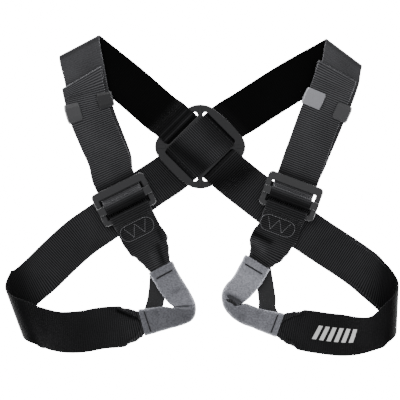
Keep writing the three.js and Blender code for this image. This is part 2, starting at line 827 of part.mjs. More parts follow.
function buckleFrameGeometry() {
  const shape = roundedRectangle(
    new THREE.Shape(), -frameOuter, -frameBottom, frameOuter, -frameTop, frameCornerRadius);
  const hole = roundedRectangle(
    new THREE.Path(), -frameInner, lowerBarWidth - frameBottom, frameInner, -frameTop - topBarWidth, chamfer);
  shape.holes.push(hole);
  return plateGeometry(shape, frameThickness);
}

// The slider lies between the frame's legs and hooks over them at both ends
function sliderGeometry() {
  const barEnd = frameInner - gap;
  const riser = webbingWidth / 2 + gap;
  const tabUnder = frameThickness + gap;
  const tabOver = tabUnder + sliderTabHeight;
  const half = [
    [barEnd, 0], [barEnd, tabUnder], [frameOuter, tabUnder], [frameOuter, tabOver],
    [riser, tabOver], [riser, frameThickness],
  ];
  const shape = new THREE.Shape();
  shape.moveTo(-half[0][0], half[0][1]);
  half.forEach(([x, y]) => shape.lineTo(x, y));
  [...half].reverse().slice(0, -1).forEach(([x, y]) => shape.lineTo(-x, y));
  const geometry = plateGeometry(shape, sliderWidth);
  geometry.rotateX(Math.PI / 2);
  geometry.translate(0, sliderWidth / 2, 0);
  return geometry;
}

function toManifold(geometry) {
  const bare = geometry.clone();
  bare.deleteAttribute('normal');
  bare.deleteAttribute('uv');
  const merged = mergeVertices(bare, 1e-4);
  return new wasm.Manifold(new wasm.Mesh({
    numProp: 3,
    vertProperties: new Float32Array(merged.getAttribute('position').array),
    triVerts: new Uint32Array(merged.getIndex().array),
  }));
}

function fromManifold(solid) {
  const mesh = solid.getMesh();
  const geometry = new THREE.BufferGeometry();
  geometry.setAttribute('position', new THREE.BufferAttribute(mesh.vertProperties, 3));
  geometry.setIndex(new THREE.BufferAttribute(mesh.triVerts, 1));
  geometry.computeVertexNormals();
  return geometry;
}

// The plate's outline in its own frame, with its sides square to the two straps
function plateOutline() {
  const half = plateAcross / 2;
  const corners = [plateSideRadius, plateEndRadius, plateSideRadius, plateEndRadius];
  const shape = new THREE.Shape();
  corners.forEach((radius, quarter) => {
    const angle = Math.PI / 2 * quarter;
    const turned = (x, y) => new THREE.Vector2(x, y).rotateAround(new THREE.Vector2(), angle);
    const nextRadius = corners[(quarter + 1) % 4];
    const centre = turned(half - radius, half - radius);
    const bulge = turned(0, half + 2 * plateBulge);
    const sideEnd = turned(nextRadius - half, half);
    shape.absarc(centre.x, centre.y, radius, angle, angle + Math.PI / 2, false);
    shape.quadraticCurveTo(bulge.x, bulge.y, sideEnd.x, sideEnd.y);
  });
  return shape;
}

function backPlateGeometry() {
  const shape = plateOutline();
  const slotHalf = webbingWidth / 2 + slotEndRoom;
  for (let quarter = 0; quarter < 4; quarter++) {
    const flat = roundedRectangle(
      new THREE.Path(), -slotHalf, slotInner, slotHalf, slotOuter, slotWidth / 2 - 0.2);
    const points = flat.getPoints(2).map((point) => point.rotateAround(new THREE.Vector2(), Math.PI / 2 * quarter));
    shape.holes.push(new THREE.Path(points));
  }
  let solid = toManifold(plateGeometry(shape, plateThickness));
  for (let quarter = 0; quarter < 4; quarter++) {
    const radius = quarter % 2 === 0 ? plateSideRadius : plateEndRadius;
    const cornerReach = plateAcross / 2 * Math.SQRT2 - radius * (Math.SQRT2 - 1);
    const rib = new THREE.BoxGeometry(ribLength, ribWidth, 2 * ribHeight);
    rib.translate(cornerReach - ribLength / 2 - 3 * chamfer, 0, plateThickness);
    rib.rotateZ(Math.PI / 4 + Math.PI / 2 * quarter);
    solid = solid.add(toManifold(rib));
  }
  return fromManifold(solid);
}

const materials = {
  webbing: { color: 0x17171a, roughness: 0.9, metalness: 0 },
  sleeve: { color: 0x6e6e78, roughness: 0.85, metalness: 0 },
  darkMetal: { color: 0x35363a, roughness: 0.45, metalness: 0.8 },
  greyMetal: { color: 0x55565a, roughness: 0.4, metalness: 0.8 },
  plastic: { color: 0x2d2e31, roughness: 0.5, metalness: 0 },
  keeper: { color: 0x3d3d42, roughness: 0.6, metalness: 0 },
  paleKeeper: { color: 0x9b9ba2, roughness: 0.6, metalness: 0 },
};

const harness = new THREE.Group();

function addPiece(name, geometry, look) {
  const mesh = new THREE.Mesh(geometry, new THREE.MeshStandardMaterial(materials[look]));
  mesh.name = name;
  harness.add(mesh);
  return mesh;
}

function addStrapAndEye(name, eyeName, stations, eye) {
  addPiece(name, ribbonGeometry(withNormals(stations), ({ crease }) => strapLine(crease), webbingThickness), 'webbing');
  const mouths = eye.map((station, index) => (station.mouth ? index : -1)).filter((index) => index >= 0);
  const sleeve = withNormals(eye).slice(mouths[0], mouths[1] + 1);
  addPiece(eyeName, sleeveGeometry(sleeve), 'sleeve');
}

function addKeepers(name, shoulder, front) {
  for (const [position, keeper] of Object.entries(shoulder.keepers)) {
    const to = keeper.from + keeper.length;
    const stations = withNormals(stretchBetween(front, keeper.from, to));
    const ends = [keeper.from + keeperRounding, to - keeperRounding];
    const filled = withNormals(stretchBetween(front, ...ends));
    const look = name === 'right' && position === 'inner' ? 'paleKeeper' : 'keeper';
    const all = [stations[0], ...filled, stations[stations.length - 1]];
    addPiece(`${name}_${position}_keeper`, keeperGeometry(all, keeper), look);
  }
}

function addBuckle(name, side, look) {
  const angle = radians(side.buckle.axis + 90);
  const pieces = [
    addPiece(`${name}_buckle_frame`, buckleFrameGeometry(), look),
    addPiece(`${name}_buckle_slider`, sliderGeometry(), look),
  ];
  const frame = buckleFrameOf(side);
  const shifts = [0, sliderPlace];
  pieces.forEach((piece, index) => {
    piece.position.copy(frame.origin).addScaledVector(frame.direction, shifts[index]).setZ(frameUnder);
    piece.rotation.z = angle;
  });
}

function addBridge(name, { bridge }) {
  const points = bridge.map(place);
  const first = { at: points[0], direction: points[1].clone().sub(points[0]).normalize() };
  const last = { at: points[3], direction: points[3].clone().sub(points[2]).normalize() };
  first.across = rightOf(first.direction, 1);
  last.across = rightOf(last.direction, 1);
  const stations = withNormals(run(first, bridge.slice(1, -1), last, 1));
  const line = plainLine(bridgeWidth);
  addPiece(`${name}_eye_bridge`, ribbonGeometry(stations, () => line, bridgeThickness), 'webbing');
}

const strapA = strapStations(sides.right, shoulders.left, sides.left, overBars);
const strapB = strapStations(sides.left, shoulders.right, sides.right, overCentre);

addStrapAndEye('left_shoulder_strap', 'right_eye_sleeve', strapA.stations, strapA.eye);
addStrapAndEye('right_shoulder_strap', 'left_eye_sleeve', strapB.stations, strapB.eye);
addKeepers('left', shoulders.left, strapA.front);
addKeepers('right', shoulders.right, strapB.front);
addBuckle('left', sides.left, 'darkMetal');
addBuckle('right', sides.right, 'greyMetal');
addBridge('left', sides.left);
addBridge('right', sides.right);
const backPlate = addPiece('back_plate', backPlateGeometry(), 'plastic');
backPlate.position.copy(plateCentre).setZ(plateUnder);
backPlate.rotation.z = -Math.PI / 4;

harness.updateMatrixWorld(true);
const bounds = new THREE.Box3().setFromObject(harness, true);
const middle = bounds.getCenter(new THREE.Vector3());
harness.position.set(-middle.x, -middle.y, -bounds.min.z);

export default harness;
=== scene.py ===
import math

import bpy
import numpy as np
from mathutils import Matrix, Vector


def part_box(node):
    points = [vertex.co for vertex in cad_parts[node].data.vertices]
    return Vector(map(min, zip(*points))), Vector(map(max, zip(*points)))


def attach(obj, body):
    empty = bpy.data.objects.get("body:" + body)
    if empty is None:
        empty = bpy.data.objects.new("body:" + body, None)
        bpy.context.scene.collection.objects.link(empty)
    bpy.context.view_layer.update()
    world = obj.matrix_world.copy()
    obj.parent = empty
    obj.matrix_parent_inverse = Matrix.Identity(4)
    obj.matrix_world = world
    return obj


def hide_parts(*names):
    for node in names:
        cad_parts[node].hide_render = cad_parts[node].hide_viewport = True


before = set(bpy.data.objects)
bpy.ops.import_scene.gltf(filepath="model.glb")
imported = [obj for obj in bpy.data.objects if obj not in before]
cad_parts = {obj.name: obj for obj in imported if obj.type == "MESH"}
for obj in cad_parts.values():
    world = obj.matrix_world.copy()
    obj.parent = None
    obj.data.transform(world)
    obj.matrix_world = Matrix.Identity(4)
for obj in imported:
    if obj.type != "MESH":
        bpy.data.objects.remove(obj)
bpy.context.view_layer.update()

print("frame loaded")

# Lengths in the tables are millimetres, angles degrees, and plan places shares of the two half extents.
halfSpan = 204.5
halfHeight = 167.6
webbing = {"width": 44.0, "thickness": 1.8, "gap": 0.3, "edgeRound": 0.75, "edgeTone": 1.25, "edgeBand": 1.3}
pitch = webbing["thickness"] + webbing["gap"]
seat = webbing["thickness"] / 2 + webbing["gap"]
half = webbing["width"] / 2
shoulderSpread = 1.9
flap = {"length": 8.2, "edge": 0.8, "turnShare": 0.3}
# The strap is drawn narrower than it is inside a sleeve, out of sight, and beside a bend, where it leans
narrowing = {"inSleeve": 0.72, "from": 2, "over": 11, "beforeBend": 52, "lag": 0.1, "afterBend": 30}
creaseArc = math.pi * pitch / 2
plateSize = {"across": 77.0, "thickness": 3.2, "slotWidth": 5.6, "slotDistance": 27.5, "slotEndRoom": 0.5,
             "sideRadius": 17, "endRadius": 25, "bulge": 1.4, "bevel": 0.7, "slotCornerRoom": 0.2}
buckle = {"thickness": 3.0, "top": -21.0, "bottom": 16.0, "topBar": 9.0, "lowerBar": 5.5,
          "sliderWidth": 8.8, "sliderPlace": -0.8}
# A sleeve is painted darker inside as shade, and its dents are painted darker as shade
sleeve = {"wall": 1.1, "room": 0.3, "corner": 2.6, "cornerShare": 0.3, "cornerRoom": 0.2, "reach": 12.8,
          "steps": 9, "ripple": 0.22, "waves": ((5.3, 3.1), (2.1, -4.7)), "calm": 4, "dentShade": 1.3,
          "hem": 0.25, "hemRise": 0.5, "hemWidth": 4.5, "rollIn": 0.9, "rolled": 0.45, "insidePaintedShade": 0.3}
bridgeThickness = 1.5
frameUnder = 3 * pitch
frameOver = frameUnder + buckle["thickness"]
plateOver = pitch + plateSize["thickness"]
sleeveInnerHeight = pitch + webbing["thickness"] + 2 * sleeve["room"]
sleeveHeight = sleeveInnerHeight + 2 * sleeve["wall"]
sleeveLow = sleeveHeight / 2
sleeveMouth = bridgeThickness + webbing["gap"] + sleeveLow
tipRadius = sleeveHeight / 2 + webbing["gap"]
sleeveHigh = sleeveLow + 2 * tipRadius


def level(layers):
    return webbing["thickness"] / 2 + layers * pitch


# Rows of a way over the floor: x, y, z, crease, rise, spread, mouth
def way(*rows):
    names = ("x", "y", "z", "crease", "rise", "spread", "mouth")
    return [dict(zip(names, list(row) + [0] * (len(names) - len(row)))) for row in rows]


plateAt = {"x": -0.008, "y": 0.299}
sides = {
    "left": {
        "buckle": {"x": -0.392, "y": -0.045, "axis": -63.8},
        "upperTube": way(
            (-0.279, -0.301, level(2)),
            (-0.249, -0.363, level(2), 0.25),
            (-0.23, -0.411, level(2) - 0.5, 0.7),
            (-0.215, -0.447, sleeveMouth, 1, 0, 0, 1),
            (-0.154, -0.553, sleeveMouth, 1),
            (-0.104, -0.634, sleeveLow + webbing["gap"], 1)),
        "tip": {"x": -0.054, "y": -0.704, "z": sleeveLow, "heading": -50.3, "line": 68.9,
                "radius": tipRadius, "rise": 1},
        "lowerTube": way(
            (-0.127, -0.763, sleeveHigh, 1),
            (-0.191, -0.776, sleeveHigh - 0.4 * sleeveLow, 1),
            (-0.307, -0.799, sleeveMouth, 1, 0, 0, 1),
            (-0.33, -0.807, sleeveMouth, 0.6),
            (-0.358, -0.815, sleeveMouth - webbing["gap"], 0.25),
            (-0.42, -0.826, level(1), 0.08),
            (-0.51, -0.836, level(0)),
            (-0.615, -0.858, level(0), 0, 0.07),
            (-0.723, -0.857, level(0), 0, 0.32),
            (-0.81, -0.826, level(0), 0, 0.72)),
        "bend": {"x": -0.886, "y": -0.786, "heading": 159, "line": 110.2, "radius": 10, "rise": -1,
                 "lean": 0.86, "leaving": 0.95},
        "back": way(
            (-0.81, -0.482, level(0)),
            (-0.716, -0.37, level(0)),
            (-0.619, -0.266, level(0)),
            (-0.492, -0.158, level(0)),
            (-0.286, 0.031, level(0))),
    },
    "right": {
        "buckle": {"x": 0.453, "y": -0.024, "axis": -110.4},
        "upperTube": way(
            (0.358, -0.288, level(2)),
            (0.329, -0.36, level(2), 0.17),
            (0.309, -0.393, level(2) - 0.5, 0.6),
            (0.29, -0.422, sleeveMouth, 1, 0, 0, 1),
            (0.232, -0.536, sleeveMouth, 1),
            (0.181, -0.598, sleeveLow + webbing["gap"], 1)),
        "tip": {"x": 0.134, "y": -0.636, "z": sleeveLow, "heading": -136.2, "line": 103.1,
                "radius": tipRadius, "rise": 1},
        "lowerTube": way(
            (0.202, -0.742, sleeveHigh, 1),
            (0.258, -0.769, sleeveHigh - 0.3 * sleeveLow, 1),
            (0.325, -0.791, sleeveMouth + 0.4 * sleeveLow, 1),
            (0.398, -0.816, sleeveMouth, 1, 0, 0, 1),
            (0.425, -0.824, sleeveMouth, 0.65),
            (0.458, -0.833, sleeveMouth - webbing["gap"], 0.28),
            (0.515, -0.846, level(1), 0.1),
            (0.602, -0.865, level(0)),
            (0.694, -0.878, level(0), 0, 0.1),
            (0.797, -0.88, level(0), 0, 0.42),
            (0.879, -0.857, level(0), 0, 0.8)),
        "bend": {"x": 0.949, "y": -0.786, "heading": 42.3, "line": 87.3, "radius": 9, "rise": -1,
                 "lean": 0.72, "leaving": 0.9},
        "back": way(
            (0.843, -0.486, level(0)),
            (0.761, -0.412, level(0)),
            (0.659, -0.33, level(0)),
            (0.534, -0.228, level(0)),
            (0.345, -0.06, level(0)),
            (0.204, 0.073, level(0))),
    },
}
shoulders = {
    "left": {
        "back": way((-0.211, 0.512, level(0)), (-0.361, 0.671, level(0))),
        "fold": {"x": -0.615, "y": 0.921, "z": level(0), "heading": 140.1, "line": 27.8,
                 "radius": pitch, "rise": 1},
        "front": way(
            (-0.606, 0.73, level(2), 0, 0, 1),
            (-0.579, 0.567, level(2), 0, 0, 1),
            (-0.557, 0.479, level(2), 0, 0, 1),
            (-0.515, 0.351, level(1.45), 0, 0, 0.8),
            (-0.471, 0.219, level(1.05), 0, 0, 0.5)),
        "hem": {"distance": 32, "skew": 16},
    },
    "right": {
        "back": way((0.227, 0.524, level(0)), (0.453, 0.699, level(0))),
        "fold": {"x": 0.717, "y": 0.882, "z": level(0), "heading": 32, "line": -36.9,
                 "radius": pitch, "rise": 1},
        "front": way(
            (0.699, 0.752, level(2), 0, 0, 1),
            (0.664, 0.627, level(2), 0, 0, 1),
            (0.625, 0.517, level(2), 0, 0, 1),
            (0.606, 0.461, level(1.95), 0, 0, 1),
            (0.538, 0.247, level(1.1), 0, 0, 0.5)),
        "hem": {"distance": 20, "skew": 0},
    },
}
slotInner = plateSize["slotDistance"] - plateSize["slotWidth"] / 2
slotOuter = plateSize["slotDistance"] + plateSize["slotWidth"] / 2
besidePlate = plateSize["across"] / 2 + 3
overPlate = plateOver + seat
# Corners of a strap's way through metal and plastic: distance along it, height, rounding
overBars = {"heading": 138, "slots": 135,
            "corners": [(besidePlate, overPlate, 0), (slotOuter - seat / 1.5, overPlate, 2),
                        (slotInner + seat / 1.5, level(0), 2)]}
overCentre = {"heading": 42, "slots": 45,
              "corners": [(slotOuter + 4, level(0), 0), (slotOuter - seat / 1.5, level(0), 2),
                          (slotInner + seat / 1.5, overPlate, 2)]}
loopUnder = frameUnder - seat
loopOver = frameOver + seat
loopTurn = buckle["bottom"] - buckle["lowerBar"] - seat
sewnReach = 42
sewnLoop = [(sewnReach, level(1), 0), (buckle["bottom"] + 9, level(1), 8),
            (buckle["bottom"] + 3, loopUnder, 6), (loopTurn, loopUnder, 2.2), (loopTurn, loopOver, 2.2),
            (buckle["bottom"] + 1.5, loopOver, 6), (buckle["bottom"] + 11, level(2), 8),
            (buckle["bottom"] + 20, level(2), 0)]
rollFront = buckle["sliderPlace"] + buckle["sliderWidth"] / 2 + seat
rollBack = buckle["sliderPlace"] - buckle["sliderWidth"] / 2 - seat
rollEntry = buckle["top"] - 4
buckleRoll = [(rollEntry, level(1), 0), (rollFront, level(1), 2.6), (rollFront, loopOver, 2.2),
              (rollBack, loopOver, 2.2), (rollBack, level(3), 2.2),
              (buckle["top"] + buckle["topBar"] + seat, level(2), 2), (rollEntry, level(2), 0)]
hem = {"return": 11, "skewReach": 2.2, "settle": 5}
detail = {"span": 12, "fold": 18, "arc": 7, "row": 2.2, "corner": 6, "flat": 24}
settleLength = 1.1 * webbing["width"]
closest = 0.05


def smooth(value):
    share = min(1, max(0, value))
    return share * share * (3 - 2 * share)


def heading(degrees):
    return Vector((math.cos(math.radians(degrees)), math.sin(math.radians(degrees)), 0))


def place(row):
    return Vector((row["x"] * halfSpan, row["y"] * halfHeight, row.get("z", 0)))


def rightOf(direction, face):
    return Vector((direction.y, -direction.x, 0)).normalized() * face


def stretchOf(direction, across):
    return 1 / abs(direction.x * across.y - direction.y * across.x)


def station(at, across, stretch, direction=None, crease=0, spread=0, mouth=False):
    return {"at": at, "across": across, "stretch": stretch, "direction": direction or Vector(),
            "crease": crease, "spread": spread, "mouth": mouth}


# Where a stretch of strap starts or ends
def stop(at, direction, across=None, crease=0):
    return {"at": at, "direction": direction, "across": across, "crease": crease}


# A point and its tangent on a centripetal curve through the points
def curvePoint(points, index, share):
    p0, p1, p2, p3 = points[index - 1:index + 3]
    d0, d1, d2 = (max(1e-4, (b - a).length) ** 0.5 for a, b in ((p0, p1), (p1, p2), (p2, p3)))
    t1 = ((p1 - p0) / d0 - (p2 - p0) / (d0 + d1) + (p2 - p1) / d1) * d1
    t2 = ((p2 - p1) / d1 - (p3 - p1) / (d1 + d2) + (p3 - p2) / d2) * d1
    c2 = -3 * p1 + 3 * p2 - 2 * t1 - t2
    c3 = 2 * p1 - 2 * p2 + t1 + t2
    point = p1 + t1 * share + c2 * share ** 2 + c3 * share ** 3
    tangent = t1 + 2 * c2 * share + 3 * c3 * share ** 2
    return point, tangent


# The strap over the floor from one stop to the next, through the rows of its way
def run(start, rows, end, face):
    stops = [start] + [dict(row, at=place(row)) for row in rows] + [end]
    lead = (stops[1]["at"] - start["at"]).length
    trail = (end["at"] - stops[-2]["at"]).length
    points = [stops[1]["at"] - start["direction"] * 2 * lead] + [stop["at"] for stop in stops]
    points.append(stops[-2]["at"] + end["direction"] * 2 * trail)
    stations = []
    for span in range(len(stops) - 1):
        steps = detail["span"] + (1 if span == len(stops) - 2 else 0)
        for step in range(steps):
            share = step / detail["span"]
            at, tangent = curvePoint(points, span + 1, share)
            tangent.z = 0
            direction = tangent.normalized()
            first, second = stops[span], stops[span + 1]
            at.z = max(at.z, min(first["at"].z, second["at"].z))
            blend = {}
            for name in ("crease", "spread"):
                before, after = first.get(name, 0), second.get(name, 0)
                blend[name] = before + (after - before) * smooth(share)
            mouth = bool((step == 0 and first.get("mouth")) or (share == 1 and second.get("mouth")))
            stations.append(station(at, rightOf(direction, face), 1, direction, mouth=mouth, **blend))
    settle(stations, start["across"])
    settle(stations[::-1], end["across"])
    for item in stations:
        item["stretch"] = stretchOf(item["direction"], item["across"])
    return stations


def settle(stations, across):
    for item in stations:
        near = 1 - smooth((item["at"] - stations[0]["at"]).length / settleLength)
        item["across"] = item["across"].lerp(across, near).normalized()


# The strap bent over a line, so that its other face comes up
def foldOver(entry, fold, face):
    square = rightOf(entry["direction"], face)
    along = heading(fold["line"])
    if along.dot(square) < 0:
        along.negate()
    slide = entry["direction"].dot(along)
    out = entry["direction"] - along * slide
    pace = out.length
    out.normalize()
    stations = []
    for step in range(detail["fold"] + 1):
        angle = math.pi * step / detail["fold"]
        radius = fold["radius"]
        at = entry["at"] + along * (radius * angle * slide / pace) + out * (radius * math.sin(angle))
        at.z += fold["rise"] * radius * (1 - math.cos(angle))
        stations.append(station(at, along.copy(), 1 / pace, crease=entry["crease"]))
    direction = along * slide - out * pace
    for item in stations:
        item["direction"] = direction
    leaving = dict(entry, at=stations[-1]["at"], direction=direction, across=along)
    return stations, leaving, dict(entry, across=along)


def roundedProfile(corners):
    flat = [Vector((distance, z)) for distance, z, _ in corners]
    points = []
    for index, (_, _, radius) in enumerate(corners):
        if radius == 0:
            points.append(flat[index])
            continue
        back = (flat[index - 1] - flat[index]).normalized()
        ahead = (flat[index + 1] - flat[index]).normalized()
        halfAngle = math.acos(max(-1, min(1, back.dot(ahead)))) / 2
        room = radius / math.tan(halfAngle)
        centre = (back + ahead).normalized() * (radius / math.sin(halfAngle)) + flat[index]
        first = back * room + flat[index] - centre
        last = ahead * room + flat[index] - centre
        turn = math.atan2(first.x * last.y - first.y * last.x, first.dot(last))
        steps = max(3, math.ceil(abs(turn) / (math.pi / 2) * detail["arc"]))
        for step in range(steps + 1):
            c, s = math.cos(turn * step / steps), math.sin(turn * step / steps)
            points.append(Vector((first.x * c - first.y * s, first.x * s + first.y * c)) + centre)
    return points


# A straight stretch whose height follows a profile of rounded corners
def throughProfile(origin, direction, across, corners):
    advance = 1 / stretchOf(direction, across)
    stations = []
    for point in roundedProfile(corners):
        at = origin + direction * (point.x / advance)
        at.z = point.y
        stations.append(station(at, across.copy(), 1 / advance, direction))
    return stations


def buckleFrame(side):
    direction = heading(side["buckle"]["axis"])
    return place(side["buckle"]), direction, rightOf(direction, 1)


def travelled(stations):
    lengths = [0.0]
    for first, second in zip(stations, stations[1:]):
        lengths.append(lengths[-1] + (second["at"] - first["at"]).length)
    return lengths


def mixed(first, second, share):
    item = {"at": first["at"].lerp(second["at"], share),
            "across": first["across"].lerp(second["across"], share).normalized(),
            "direction": first["direction"].lerp(second["direction"], share),
            "mouth": False}
    for name in ("stretch", "crease", "spread"):
        item[name] = first[name] + (second[name] - first[name]) * share
    item["narrow"] = first.get("narrow", 1) * (1 - share) + second.get("narrow", 1) * share
    if "normal" in first:
        item["normal"] = first["normal"].lerp(second["normal"], share).normalized()
    return item


# The two items around a distance, and the share of the way from the first to the second
def around(items, lengths, distance):
    distance = min(max(distance, 0), lengths[-1] - 1e-6)
    index = max(1, int(np.searchsorted(lengths, distance)))
    share = (distance - lengths[index - 1]) / (lengths[index] - lengths[index - 1])
    return items[index - 1], items[index], share


def stationAt(stations, lengths, distance):
    return mixed(*around(stations, lengths, distance))


def stretchBetween(stations, start, end):
    lengths = travelled(stations)
    inside = [item for item, length in zip(stations, lengths) if start < length < end]
    return [stationAt(stations, lengths, start)] + inside + [stationAt(stations, lengths, end)]


def moved(item, aside, up):
    at = item["at"] + item["across"] * aside
    at.z += up
    return dict(item, at=at)


# The tail lies on the front strap, rests on it below its hem and is turned under at the hem
def tailStations(front, end):
    total = travelled(front)[-1]
    kept = stretchBetween(front, end["distance"], total)
    left = travelled(kept)
    skewed = []
    for item, length in zip(kept, left):
        near = 1 - smooth(length / (hem["skewReach"] * hem["return"]))
        up = pitch + pitch * (1 - smooth((length - hem["return"] - 1) / hem["settle"]))
        across = item["across"].copy()
        across.rotate(Matrix.Rotation(math.radians(end["skew"]) * near, 3, "Z"))
        changed = dict(item, across=across, stretch=stretchOf(item["direction"].normalized(), across))
        skewed.append(moved(changed, -shoulderSpread * item["spread"], up))
    skewed.reverse()
    last = skewed[-1]
    line = math.degrees(math.atan2(last["across"].y, last["across"].x))
    entry = stop(last["at"], -last["direction"].normalized())
    folded, _, _ = foldOver(entry, {"line": line, "radius": pitch / 2, "rise": -1}, 1)
    tip = dict(folded[-1], at=folded[-1]["at"] - entry["direction"] * hem["return"])
    return skewed + folded[1:] + [tip]


def separated(stations):
    kept = [stations[0]]
    for item in stations[1:]:
        if (item["at"] - kept[-1]["at"]).length > closest:
            kept.append(item)
    return kept


def withNormals(stations):
    for index, item in enumerate(stations):
        travel = Vector()
        if index > 0:
            travel += (item["at"] - stations[index - 1]["at"]).normalized()
        if index < len(stations) - 1:
            travel += (stations[index + 1]["at"] - item["at"]).normalized()
        item["normal"] = item["across"].cross(travel).normalized()
    return stations


# One whole strap, from the loop at its own buckle to the hem of its tail at the other shoulder
def strapStations(side, shoulder, otherSide, crossing):
    origin, direction, across = buckleFrame(side)
    endOrigin, endDirection, endAcross = buckleFrame(otherSide)
    parts = {"loop": throughProfile(origin, direction, across, sewnLoop)}
    loopEnd = stop(origin + direction * sewnLoop[-1][0], direction, across)
    loopEnd["at"].z = level(2)

    tipEntry = stop(place(side["tip"]), heading(side["tip"]["heading"]), crease=1)
    tip, leaving, tipEntry = foldOver(tipEntry, side["tip"], 1)
    parts["upper"] = run(loopEnd, side["upperTube"], tipEntry, 1)
    parts["tip"] = tip

    bend = side["bend"]
    bendEntry = stop(place(dict(bend, z=level(0) + 2 * bend["radius"])), heading(bend["heading"]))
    bent, bendExit, bendEntry = foldOver(bendEntry, bend, -1)
    rows = [dict(row, z=row["z"] + 2 * bend["radius"] * row["rise"]) for row in side["lowerTube"]]
    parts["lower"] = run(leaving, rows, bendEntry, -1)
    parts["bend"] = bent
    for item in parts["lower"]:
        near = (item["at"] - bendEntry["at"]).length / narrowing["beforeBend"] - narrowing["lag"]
        item["narrow"] = bend["lean"] + (1 - bend["lean"]) * smooth(near)
    for index, item in enumerate(bent):
        item["narrow"] = bend["lean"] + (bend["leaving"] - bend["lean"]) * index / (len(bent) - 1)

    through = heading(crossing["heading"])
    slotLine = rightOf(heading(crossing["slots"]), 1)
    arriving = [(-distance, z, radius) for distance, z, radius in crossing["corners"]]
    plate = throughProfile(place(plateAt), through, slotLine, arriving + crossing["corners"][::-1])
    parts["back"] = run(bendExit, side["back"], stop(plate[0]["at"], through, slotLine), 1)
    for item in parts["back"]:
        near = (item["at"] - bendExit["at"]).length / narrowing["afterBend"]
        item["narrow"] = bend["leaving"] + (1 - bend["leaving"]) * smooth(near)
    parts["plate"] = plate

    foldEntry = stop(place(shoulder["fold"]), heading(shoulder["fold"]["heading"]))
    folded, foldExit, foldEntry = foldOver(foldEntry, shoulder["fold"], 1)
    parts["rising"] = run(stop(plate[-1]["at"], through, slotLine), shoulder["back"], foldEntry, 1)
    parts["fold"] = folded

    rollStart = stop(endOrigin + endDirection * rollEntry, endDirection, -endAcross)
    rollStart["at"].z = level(1)
    front = run(foldExit, shoulder["front"], rollStart, -1)
    parts["front"] = [moved(item, shoulderSpread * item["spread"], 0) for item in front]
    parts["roll"] = throughProfile(endOrigin, endDirection, -endAcross, buckleRoll)
    parts["tail"] = tailStations(front, shoulder["hem"])

    stations = []
    for name, items in parts.items():
        for item in items:
            item["part"] = name
        stations += items
    eye = parts["upper"] + parts["tip"] + parts["lower"]
    mouths = [index for index, item in enumerate(eye) if item["mouth"]]
    for item in eye[mouths[0]:mouths[1]]:
        inside = min((item["at"] - eye[mouth]["at"]).length for mouth in mouths)
        item["narrow"] = 1 - narrowing["inSleeve"] * smooth((inside - narrowing["from"]) / narrowing["over"])
    return withNormals(separated(stations))


# A point of the strap's cross-section, whose edges fold under as the crease goes from 0 to 1
def sectionPoint(reach, crease):
    if crease < 0.01:
        return reach, 0.0
    sign, q = (1 if reach >= 0 else -1), abs(reach)
    flapNow = flap["edge"] + (flap["length"] - flap["edge"]) * crease
    flat = half - creaseArc - flapNow
    turn = math.pi * smooth(crease / flap["turnShare"])
    bendRadius = creaseArc / max(turn, 1e-3)
    lift = bendRadius * (1 - math.cos(turn)) / 2 * smooth(crease)
    if q <= flat:
        return reach, lift
    angle = min(q - flat, creaseArc) / bendRadius
    x, y = flat + bendRadius * math.sin(angle), lift - bendRadius * (1 - math.cos(angle))
    beyond = max(0, q - flat - creaseArc)
    return sign * (x + beyond * math.cos(turn)), y - beyond * math.sin(turn)


def sectionTurn(reach, crease):
    ahead = np.array(sectionPoint(reach + 0.02, crease)) - np.array(sectionPoint(reach - 0.02, crease))
    ahead /= np.linalg.norm(ahead)
    return np.array((-ahead[1], ahead[0]))


# The CAD part is centred on its box, so the ways here are shifted to where its plate is
plateLow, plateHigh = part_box("back_plate")
shift = (plateLow + plateHigh) / 2 * 1000 - place(plateAt)
shift.z = 0


def linkNew(name, data):
    obj = bpy.data.objects.new(name, data)
    bpy.context.scene.collection.objects.link(obj)
    return obj


# A mesh object from points in millimetres
def newObject(name, vertices, faces, material, uv=None, smoothFaces=True):
    mesh = bpy.data.meshes.new(name)
    mesh.from_pydata([tuple((Vector(v) + shift) / 1000) for v in vertices], [], faces)
    if uv is not None:
        layer = mesh.uv_layers.new(name="weave")
        loops = np.zeros(len(mesh.loops), dtype=np.int32)
        mesh.loops.foreach_get("vertex_index", loops)
        layer.data.foreach_set("uv", np.asarray(uv, dtype=np.float32)[loops].ravel())
    mesh.materials.append(material)
    if smoothFaces:
        mesh.polygons.foreach_set("use_smooth", np.ones(len(mesh.polygons), dtype=bool))
    mesh.update()
    return linkNew(name, mesh)


# Reaches across the webbing at which its faces have points, close together where the edges fold
halfColumns = [0, 3, 6, 9, 10.3, 11.4, 12.5, 13.5, 14.6, 15.8, 17, 18.2, 19.4, 20.4, 21.1]
columns = [-value for value in halfColumns[:0:-1]] + halfColumns
rim = [(0.5, 0.87), (0.87, 0.5), (1, 0), (0.87, -0.5), (0.5, -0.87)]


# Quads between two rings of as many points
def band(first, second, count):
    turns = [(k, (k + 1) % count) for k in range(count)]
    return [(first + k, first + n, second + n, second + k) for k, n in turns]


# The two end faces of a row of rings
def capped(first, last, count):
    return [tuple(first + k for k in range(count))[::-1], tuple(last + k for k in range(count))]


